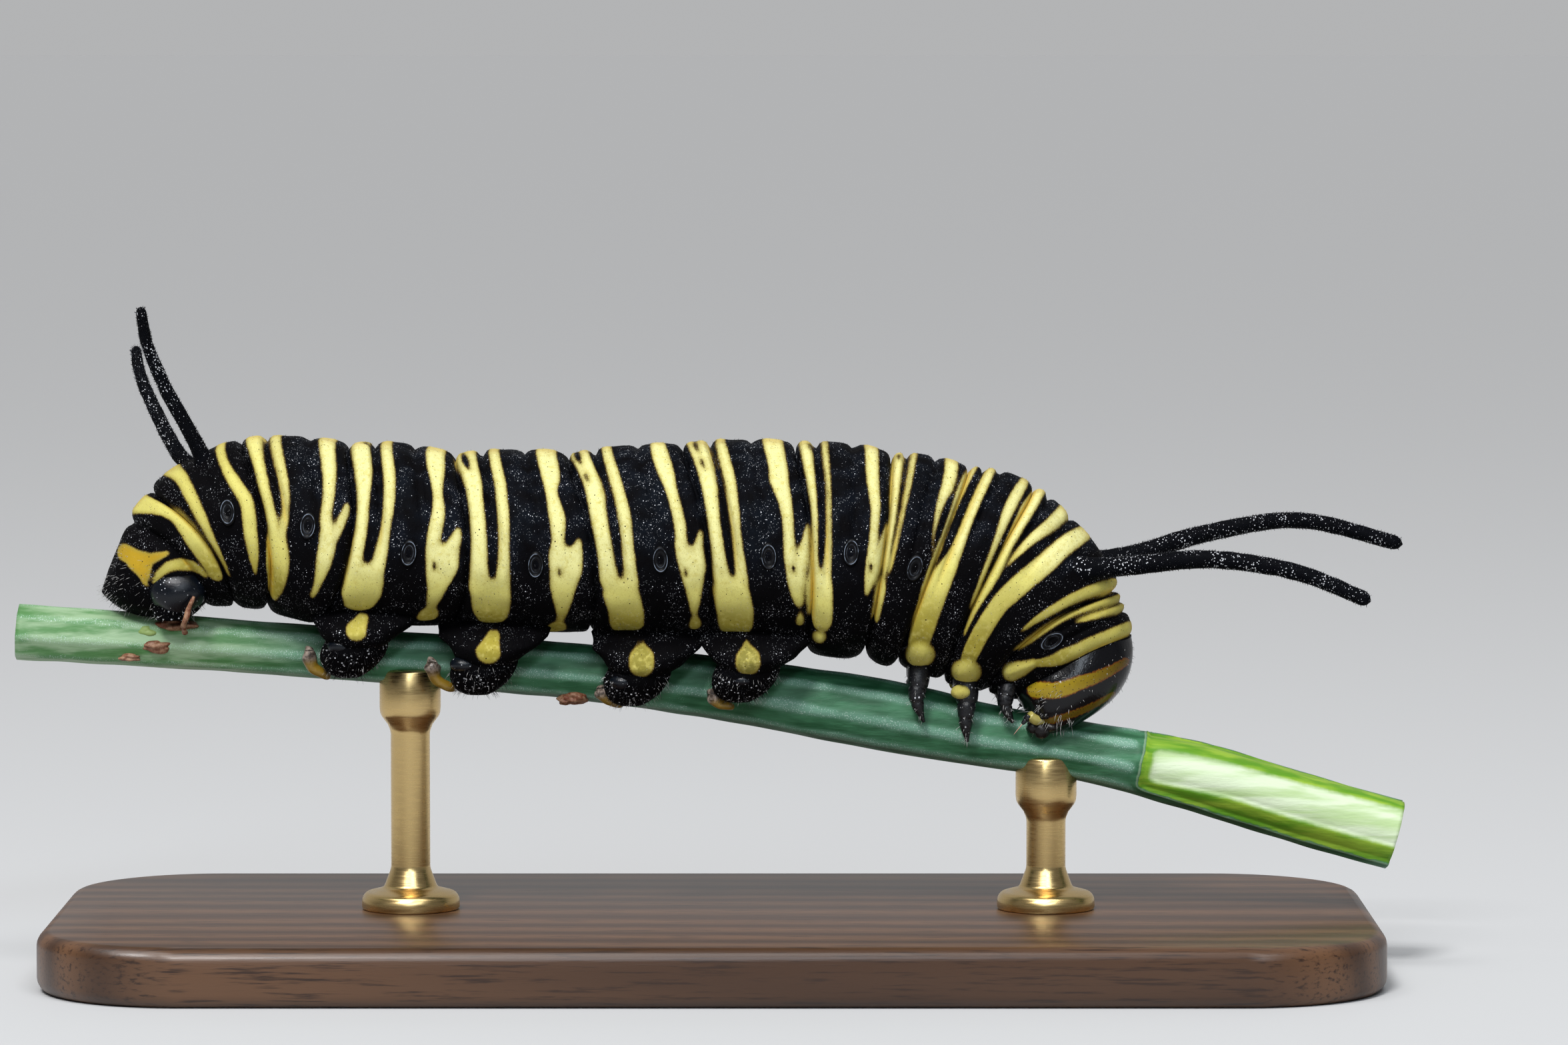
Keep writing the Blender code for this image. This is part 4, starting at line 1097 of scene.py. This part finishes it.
# Places along each feeler's soft base, and where its joints and bristle lie on from there, with their radii
ANTENNAE = {
    "right": [(13.45, -1.45, 10.30), (13.10, -1.78, 10.35), (12.84, -1.98, 10.55)],
    "left": [(13.50, 0.25, 10.75), (13.15, 0.60, 10.90), (12.85, 0.80, 11.00)],
}
FEELER_JOINTS = [((0, 0.26), (0.15, 0.12), 1.0), ((0.22, 0.48), (0.10, 0.08), 1.0),
                 ((0.44, 1.05), (0.028, 0.006), 0.6)]


def build_antenna(side_name, side):
    """A pale soft base, two dark joints and a long bristle."""
    piece = Surface()
    places = np.array(ANTENNAE[side_name])
    piece.add_rows(tube(curve(places, 24), np.linspace(0.24, 0.19, 24), 24), dark=0.0)
    way = np.array([-0.62, side * 0.12, -0.75])
    s = np.linspace(0, 1, 14)
    for (start, end), (thick, thin), dark in FEELER_JOINTS:
        line = places[2] + np.linspace(start, end, 14)[:, None] * way
        radii = (thick + (thin - thick) * s) * np.sqrt(1 - (2 * s - 1) ** 6 + 0.02)
        piece.add_rows(tube(line, radii, 20), dark=dark)
    return piece.mesh("antenna")


def antenna_look():
    look = Look("antenna")
    pale = look.layers((0.52, 0.46, 0.13), (look.noise(4.0, 3.0), (0.30, 0.25, 0.06)))
    dark = look.kept("dark")
    joints = look.layers((0.45, 0.24, 0.18), (dark.ramp(0.7, 0.9), (0.006, 0.006, 0.008)))
    return look.finish(look.layers(pale, (dark.ramp(0.2, 0.5), joints)), 0.28)


# The upper lip, the jaws and the feelers below the face: middle, radii and roughness
MOUTH = [((13.75, -1.25, 10.05), (0.50, 0.62, 0.30), 0.05), ((13.35, -1.62, 9.90), (0.36, 0.28, 0.34), 0.05),
         ((13.35, -0.85, 9.90), (0.36, 0.28, 0.34), 0.05), ((12.98, -1.70, 10.02), (0.20, 0.16, 0.24), 0.06),
         ((12.98, -0.80, 10.02), (0.20, 0.16, 0.24), 0.06), ((12.95, -1.25, 9.95), (0.22, 0.30, 0.18), 0.06)]


def build_mouth():
    piece = Surface()
    for centre, radii, roughness in MOUTH:
        verts, faces = lump(centre, radii, 36, 22, roughness, 17)
        piece.add(clear_stem(verts, 0.02), faces)
    return piece.mesh("mouthparts")


HEAD_MIDDLE = np.array([14.8, -0.3, 12.0])


def head_point(share, angle):
    """The point of the head at a share of its reach and an angle from its crown, and the way it faces."""
    near = []
    for s, a in ((share, angle), (share + 0.01, angle), (share, angle + 0.01)):
        sections, turns = dome(FOLDS[NECK], HEAD_END, [s])
        near.append(rim(sections, np.array([a]), 0.0)[0, 0] + (0, turns[0], 0))
    facing = unit(np.cross(near[1] - near[0], near[2] - near[0]))
    return near[0], -facing if facing @ (near[0] - HEAD_MIDDLE) < 0 else facing


def build_eyes(side_name, side):
    """Six simple eyes in an arc low on the cheek."""
    bpy.ops.object.select_all(action="DESELECT")
    beads = []
    for i in range(6):
        turn = math.radians(42 * i)
        angle = math.radians(130 + 8 * math.sin(turn))
        at = clear_stem(head_point(0.42 + 0.16 * math.cos(turn), -side * angle)[0], 0.02)
        bpy.ops.mesh.primitive_uv_sphere_add(segments=24, ring_count=14, radius=0.14 * MM,
                                             location=tuple(at * MM))
        beads.append(bpy.context.object)
    for bead in beads:
        bead.select_set(True)
    bpy.context.view_layer.objects.active = beads[0]
    bpy.ops.object.join()
    bpy.ops.object.transform_apply(location=True, rotation=True, scale=True)
    bpy.ops.object.shade_smooth()
    beads[0].name = f"eye_beads_{side_name}"
    return beads[0]


# Bristles

# A hair is a cone of two rings of three points and a tip; each face lists its points
HAIR_FACES = [(0, 2, 1), (0, 1, 4, 3), (1, 2, 5, 4), (2, 0, 3, 5), (3, 4, 6), (4, 5, 6), (5, 3, 6)]
# Where a hair's points lie on its patch of the map, and how wide the patch is
HAIR_PATCH = np.array([(0, 0), (1, 0), (.5, 1), (.2, .3), (.8, .3), (.5, .7), (.5, .5)])
PATCH = 0.003


def unwrap(points):
    """Places on an unwrap of the skin's shape: along the body, and round it."""
    return np.stack([(points[:, 0] + 30) / 60,
                     np.arctan2(points[:, 1], points[:, 2] - 16.5) / (2 * math.pi) + 0.5], 1)


class Bristles:
    """Fine tapered hairs joined in one mesh, each with its own patch of the OFBake map."""

    def __init__(self, seed):
        self.rng = np.random.default_rng(seed)
        self.parts = []

    def add(self, roots, ways, lengths, radius, droop=0.15, stripe=FAR):
        roots, ways = np.atleast_2d(roots), unit(np.atleast_2d(ways))
        lengths = np.broadcast_to(lengths, len(roots))[:, None]
        side = unit(np.cross(ways, (0.3, 0.2, 1.0)))
        up = np.cross(side, ways)
        fall = np.array([0, 0, droop]) * lengths
        rows = []
        for share, width in ((-0.12, 1.0), (0.5, 0.7)):
            centre = roots + ways * lengths * share - fall * max(share, 0) ** 2
            for turn in full_turn(3):
                rows.append(centre + (side * math.cos(turn) + up * math.sin(turn)) * radius * width)
        rows.append(roots + ways * lengths - fall)
        self.parts.append((np.stack(rows, 1), roots, np.broadcast_to(stripe, len(roots))))

    def sow_foot(self, rows, side, count, first_row, inmost, outward, lean, spread, lengths, radius):
        """Bristles on the outer side of a foot, which lean down and back."""
        for _ in range(count):
            i, j = self.rng.integers(first_row, FOOT_ROWS - 1), self.rng.integers(0, FOOT_SIDES)
            way = rows[i, j] - rows[i].mean(0)
            if way[1] * side < inmost:
                continue
            way = unit(way) * outward + np.array(lean) * (1, side, 1) + self.rng.normal(0, spread, 3)
            self.add(rows[i, j], way, self.rng.uniform(*lengths), radius)

    def mesh(self, name):
        verts, roots, stripe = (np.concatenate(column) for column in zip(*self.parts))
        faces = [tuple(7 * hair + i for i in face) for hair in range(len(verts)) for face in HAIR_FACES]
        mesh = make_mesh(name, verts.reshape(-1, 3), faces, dict(stripe=np.repeat(stripe, 7)))
        corners = [i for face in HAIR_FACES for i in face]
        uv = unwrap(roots)[:, None] + (HAIR_PATCH[corners] * PATCH - PATCH / 2)[None]
        mesh.uv_layers.new(name="OFBake").data.foreach_set("uv", uv.reshape(-1))
        return mesh


def bristle_look(name, dark, pale, share):
    """Hairs of which a share is pale; the others are dark, or yellow where the skin is."""
    look = Look(name)
    colour = look.layers(dark, (look.kept("stripe").ramp(0.0, -0.05), (0.50, 0.42, 0.12)),
                         (look.noise(1.7).ramp(0.5 - share, 0.62 - share), pale))
    return look.finish(colour, 0.35)


def foot_bristles():
    hairs = Bristles(61)
    for _, side in SIDES:
        for number in PROLEGS:
            hairs.sow_foot(foot(number, side), side, count=190, first_row=7, inmost=-0.2, outward=0.7,
                           lean=(-0.1, 0.25, -0.85), spread=0.22, lengths=(0.12, 0.36), radius=0.010)
    return hairs


def tail_bristles():
    """Pale bristles in fans on the tail's end and under it."""
    hairs = Bristles(62)
    rng = hairs.rng
    for _ in range(260):
        i, j = rng.integers(1, 24), rng.integers(0, SKIN_SIDES)
        way = unit(SKIN_POINTS[i, j] - np.array([-21.5, 0, 16.8])) + rng.normal(0, 0.25, 3)
        hairs.add(SKIN_POINTS[i, j], way, rng.uniform(0.08, 0.34), 0.009)
    for _, side in SIDES:
        hairs.sow_foot(tail_foot(side), side, count=120, first_row=6, inmost=-0.1, outward=1.0,
                       lean=(-0.3, 0.2, -0.7), spread=0.25, lengths=(0.10, 0.34), radius=0.009)
    return hairs


def head_bristles():
    """Long bristles low on the head, short ones above, and those of the legs."""
    hairs = Bristles(63)
    rng = hairs.rng
    for _ in range(420):
        share, angle = rng.uniform(0.1, 0.97), rng.uniform(-math.pi, math.pi)
        low = abs(math.degrees(angle)) > 95
        if not low and rng.random() > 0.30:
            continue
        root, facing = head_point(share, angle)
        if np.hypot(*(clear_stem(root, 0.03) - root)[1:]) > 1e-6:
            continue
        way = facing + rng.normal(0, 0.3, 3) + np.array([-0.3, 0, -0.3])
        hairs.add(root, way, rng.uniform(0.15, 0.50) if low else rng.uniform(0.08, 0.16), 0.011)
    for _, side in SIDES:
        for knots in LEGS.values():
            line = curve(np.array(knots) * (1, side, 1, 1), 40)
            for _ in range(34):
                *place, radius = line[rng.integers(4, 38)]
                way = unit(rng.normal(0, 1, 3) + np.array([0, 0.5 * side, -0.4]))
                root = place + way * radius * 0.9
                hairs.add(root, way + np.array([0, 0, -0.5]), rng.uniform(0.12, 0.34), 0.010)
    return hairs


def filament_fuzz():
    """Short dark fuzz all over the four filaments."""
    hairs = Bristles(64)
    rng = hairs.rng
    for name, knots in TENTACLES.items():
        root, tip = filament_radii(name)
        line = curve(knots, FILAMENT_ROWS)
        count = 2400 if "front" in name else 1500
        picks = rng.integers(14, FILAMENT_ROWS - 1, count)
        ahead = unit(np.gradient(line, axis=0))[picks]
        ways = rng.normal(0, 1, (count, 3))
        ways = unit(ways - ahead * np.einsum("ij,ij->i", ways, ahead)[:, None])
        s = picks / (FILAMENT_ROWS - 1)
        radii = (tip + (root - tip) * (1 - s)) * np.where(s > 0.98, 0.75, 1.0)
        leaning = ways + ahead * 0.6 + rng.normal(0, 0.15, (count, 3))
        roots = line[picks] + ways * (radii * 0.97)[:, None]
        hairs.add(roots, leaning, rng.uniform(0.05, 0.11, count), 0.010, 0.0)
    return hairs


def skin_fuzz():
    """Very short soft hairs all over the back and sides."""
    hairs = Bristles(65)
    rng = hairs.rng
    count = 9000
    i, j = rng.integers(30, len(SKIN_POINTS) - 12, count), rng.integers(0, SKIN_SIDES, count)
    roots = SKIN_POINTS[i, j]
    ways = unit(roots - SKIN_POINTS[i].mean(1)) + rng.normal(0, 0.35, (count, 3))
    hairs.add(roots, ways, rng.uniform(0.04, 0.10, count), 0.007, 0.0, SKIN_STRIPE[i, j])
    return hairs


# The larva's pieces and its perch

FLESH = [f"thorax_{i}" for i in (1, 2, 3)] + [f"abdomen_{i}" for i in range(1, 11)]
FLESH += [f"proleg_{kind}_{side}" for kind in (3, 4, 5, 6, "anal") for side, _ in SIDES]
place_piece("larva_skin", build_skin(), FLESH, skin_look())
place_piece("plant_stem", build_stem(), ["stem"], stem_look())
place_piece("head_capsule", build_head(), ["head"], head_look())
velvet = black_look("tentacle velvet", (0.0018, 0.0020, 0.0028), roughness=0.6, speck_cells=10.0,
                    bumpiness=0.5, shine=0.02, biggest=0.30)
for name in TENTACLES:
    place_piece(name.replace("tentacle", "filament"), build_tentacle(name), [name], velvet)
leg_gloss = black_look("leg cuticle", (0.0030, 0.0030, 0.0040), roughness=0.28, speck_cells=5.0,
                       bumpiness=0.50, shine=0.36)
for side_name, side in SIDES:
    for number in LEGS:
        place_piece(f"thorax_leg_{number}_{side_name}", build_leg(number, side),
                    [f"leg_{number}_{side_name}"], leg_gloss)
place_piece("spiracle_rims", build_spiracles(), (), spiracle_look())
place_piece("foot_pads", build_pads(), (), pad_look())
# The blue in the black of the plates is painted, for their bluish sheen
place_piece("foot_shields", build_shields(), (),
            black_look("foot shields", (0.0022, 0.0032, 0.0052), roughness=0.20, speck_cells=6.0,
                       bumpiness=0.30, shine=0.30))
feeler_look = antenna_look()
eye_gloss = black_look("eye beads", (0.003, 0.003, 0.003), roughness=0.08, bumpiness=0.0)
for side_name, side in SIDES:
    place_piece(f"feeler_{side_name}", build_antenna(side_name, side),
                [f"antenna_{side_name}"], feeler_look)
    settle(build_eyes(side_name, side), [f"eyes_{side_name}"], eye_gloss)
place_piece("lip_and_jaws", build_mouth(), ["mouthparts"],
            black_look("mouth cuticle", (0.005, 0.004, 0.004), roughness=0.28, speck_cells=3.0))
BLACK_HAIR, PALE_HAIR = (0.006, 0.006, 0.008), (0.50, 0.49, 0.47)
# Each set of hairs with its slot, its dark and pale colours, and how much of it is pale
for name, hairs, slot, dark, pale, share in (
        ("foot_bristles", foot_bristles(), "proleg", BLACK_HAIR, PALE_HAIR, 0.0),
        ("tail_bristles", tail_bristles(), "proleg", BLACK_HAIR, PALE_HAIR, 0.22),
        ("head_bristles", head_bristles(), "head_capsule", BLACK_HAIR, PALE_HAIR, 0.20),
        ("filament_fuzz", filament_fuzz(), "tentacle", BLACK_HAIR, (0.05, 0.055, 0.07), 0.0),
        ("skin_fuzz", skin_fuzz(), "larval_skin", (0.012, 0.012, 0.016), (0.30, 0.30, 0.31), 0.05)):
    place_piece(name, hairs.mesh(name), (), bristle_look(name.replace("_", " "), dark, pale, share))


# Stand

BASE_LENGTH, BASE_WIDTH, BASE_HEIGHT, BASE_CORNER = 54, 25, 2.4, 6


def wood_look():
    look = Look("walnut")
    inputs = {"Vector": look.point((0.10, 1.0, 1.0)), "Scale": 0.13, "Distortion": 9.0, "Detail": 3.0,
              "Detail Scale": 0.6}
    rings = look.node("ShaderNodeTexWave", inputs, "Fac", bands_direction="Y")
    pores = look.noise(7.0, 3.0, 0.6, (0.06, 1.0, 1.0))
    colour = look.layers((0.050, 0.022, 0.010), (rings, (0.115, 0.055, 0.026)),
                         (pores.ramp(0.50, 0.70), (0.028, 0.012, 0.006)))
    return look.finish(colour, 0.36, normal=look.bump(pores, 0.15, 0.05))


def brass_look():
    look = Look("satin brass")
    brushed = look.noise(1.2, 3.0, stretch=(1.0, 1.0, 14.0))
    return look.finish(look.layers((0.60, 0.42, 0.17), (brushed, (0.72, 0.53, 0.25))),
                       brushed.ramp(0.3, 0.7, 0.24, 0.34), metal=1.0)


def edit(piece, action):
    """Runs an action in edit mode on a piece, with all of it selected."""
    bpy.ops.object.select_all(action="DESELECT")
    piece.select_set(True)
    bpy.context.view_layer.objects.active = piece
    bpy.ops.object.mode_set(mode="EDIT")
    bpy.ops.mesh.select_all(action="SELECT")
    action()
    bpy.ops.object.mode_set(mode="OBJECT")


def rounded(piece, width, segments, angle):
    """Rounds a piece's edges and shades it smooth."""
    modifier = piece.modifiers.new("rounding", "BEVEL")
    modifier.width = width * MM
    modifier.segments = segments
    modifier.limit_method = "ANGLE"
    modifier.angle_limit = math.radians(angle)
    modifier.harden_normals = True
    bpy.ops.object.modifier_apply(modifier=modifier.name)
    bpy.ops.object.transform_apply(location=True, rotation=True, scale=True)
    bpy.ops.object.shade_smooth_by_angle(angle=math.radians(40))


def build_base():
    """A flat board with round corners and soft edges."""
    bpy.ops.mesh.primitive_cube_add(size=1, location=(0, 0, BASE_HEIGHT / 2 * MM))
    base = bpy.context.object
    base.name = "walnut_base"
    base.scale = (BASE_LENGTH * MM, BASE_WIDTH * MM, BASE_HEIGHT * MM)
    bpy.ops.object.transform_apply(location=True, rotation=True, scale=True)

    def round_corners():
        bpy.ops.mesh.select_mode(type="EDGE")
        bpy.ops.mesh.select_all(action="DESELECT")
        bpy.ops.object.mode_set(mode="OBJECT")
        for edge in base.data.edges:
            a, b = (base.data.vertices[i].co for i in edge.vertices)
            edge.select = abs(a.z - b.z) > MM
        bpy.ops.object.mode_set(mode="EDIT")
        bpy.ops.mesh.bevel(offset=BASE_CORNER * MM, segments=14)

    edit(base, round_corners)
    rounded(base, 0.55, 5, 50)
    return base


def build_rod(x):
    """A turned rod: a foot on the base, a slim shaft and a cradle under the stem."""
    height, radius = stem_axis(x)
    top = height - radius * 0.35
    profile = [(2.0, BASE_HEIGHT), (2.0, 2.85), (1.85, 3.1), (1.1, 3.3), (0.95, 3.7), (0.8, 4.1),
               (0.8, top - 2.6), (0.92, top - 2.3), (1.22, top - 1.9), (1.25, top - 1.6), (1.25, top)]
    bpy.ops.object.select_all(action="DESELECT")
    bpy.ops.mesh.primitive_circle_add(vertices=64, radius=profile[0][0] * MM, fill_type="NGON",
                                      location=(x * MM, 0, profile[0][1] * MM))
    rod = bpy.context.object

    def turn():
        for (r0, z0), (r1, z1) in zip(profile, profile[1:]):
            bpy.ops.mesh.extrude_region_move(TRANSFORM_OT_translate={"value": (0, 0, (z1 - z0) * MM)})
            bpy.ops.transform.resize(value=(r1 / r0, r1 / r0, 1), center_override=(x * MM, 0, z1 * MM))
        bpy.ops.mesh.select_all(action="SELECT")
        bpy.ops.mesh.normals_make_consistent(inside=False)

    edit(rod, turn)
    rounded(rod, 0.12, 3, 20)
    return rod


bpy.ops.object.select_all(action="DESELECT")
settle(build_base(), ["stand_base"], wood_look())
brass = brass_look()
for rod_name, x in (("rear", -12.4), ("front", 13.6)):
    rod = build_rod(x)
    rod.name = f"brass_rod_{rod_name}"
    settle(rod, [f"stand_rod_{rod_name}"], brass)


# Camera, light and floor

# The photo is so many pixels wide, and a pixel is so many millimetres at the larva
PHOTO_WIDTH, PIXEL = 2352, 0.0272
CAMERA_TARGET, CAMERA_DISTANCE, CAMERA_RISE = Vector((2.88, 0, 18.26)), 280, math.radians(4)
SENSOR = 36


def look_turn(eye, target):
    return (Vector(target) - Vector(eye)).to_track_quat("-Z", "Y").to_euler()


def add_camera():
    away = Vector((0, -math.cos(CAMERA_RISE), math.sin(CAMERA_RISE)))
    data = bpy.data.cameras.new("camera")
    data.sensor_width = SENSOR
    data.lens = SENSOR * (CAMERA_DISTANCE / PIXEL) / PHOTO_WIDTH
    data.clip_start, data.clip_end = 0.01, 20
    camera = bpy.data.objects.new("camera", data)
    camera.location = (CAMERA_TARGET + away * CAMERA_DISTANCE) * MM
    camera.rotation_euler = look_turn(camera.location, CAMERA_TARGET * MM)
    bpy.context.scene.collection.objects.link(camera)
    bpy.context.scene.camera = camera


def add_light(name, kind, power, eye, target, **settings):
    """A light of a kind at a place, turned to a target."""
    data = bpy.data.lights.new(name, kind)
    data.energy = power
    for setting, value in settings.items():
        setattr(data, setting, value)
    light = bpy.data.objects.new(name, data)
    light.location = eye
    light.rotation_euler = look_turn(eye, target)
    bpy.context.scene.collection.objects.link(light)
    return light


def add_lights():
    """A distant soft key light, a soft box above, and a bluish one low in front, turned on its side."""
    add_light("key", "SUN", 2.50, (-0.14, -0.40, 0.48), (0, 0, 0), angle=math.radians(14))
    middle = (0, 0, 0.015)
    add_light("top", "AREA", 0.52, (-0.02, -0.10, 0.30), middle, shape="RECTANGLE", size=0.30, size_y=0.10)
    front = add_light("front", "AREA", 0.34, (0.04, -0.30, 0.19), middle, shape="RECTANGLE", size=0.24,
                      size_y=0.035, color=(0.80, 0.90, 1.0))
    front.rotation_euler.rotate_axis("Z", math.radians(34))


def add_floor():
    bpy.ops.object.select_all(action="DESELECT")
    bpy.ops.mesh.primitive_plane_add(size=60, location=(0, 0, 0))
    floor = bpy.context.object
    floor.name = "floor"
    floor.data.materials.append(Look("pale floor").finish((0.530, 0.534, 0.540), 0.8, 0.1))


def add_world():
    """A pale room that is dimmer on the camera's side."""
    world = bpy.data.worlds.new("studio")
    bpy.context.scene.world = world
    world.use_nodes = True
    room = Nodes(world.node_tree)
    around = room.node("ShaderNodeTexCoord", output="Generated")
    way = room.node("ShaderNodeSeparateXYZ", {"Vector": around}, 1)
    colour = room.layers((0.15, 0.152, 0.156), (way.ramp(-0.1, 0.7), (0.45, 0.454, 0.46)))
    background = world.node_tree.nodes["Background"]
    room.join(background.inputs["Color"], colour)
    background.inputs["Strength"].default_value = 1.0


add_camera()
add_lights()
add_floor()
add_world()
scene = bpy.context.scene
scene.view_settings.view_transform = "Standard"
scene.view_settings.look = "None"
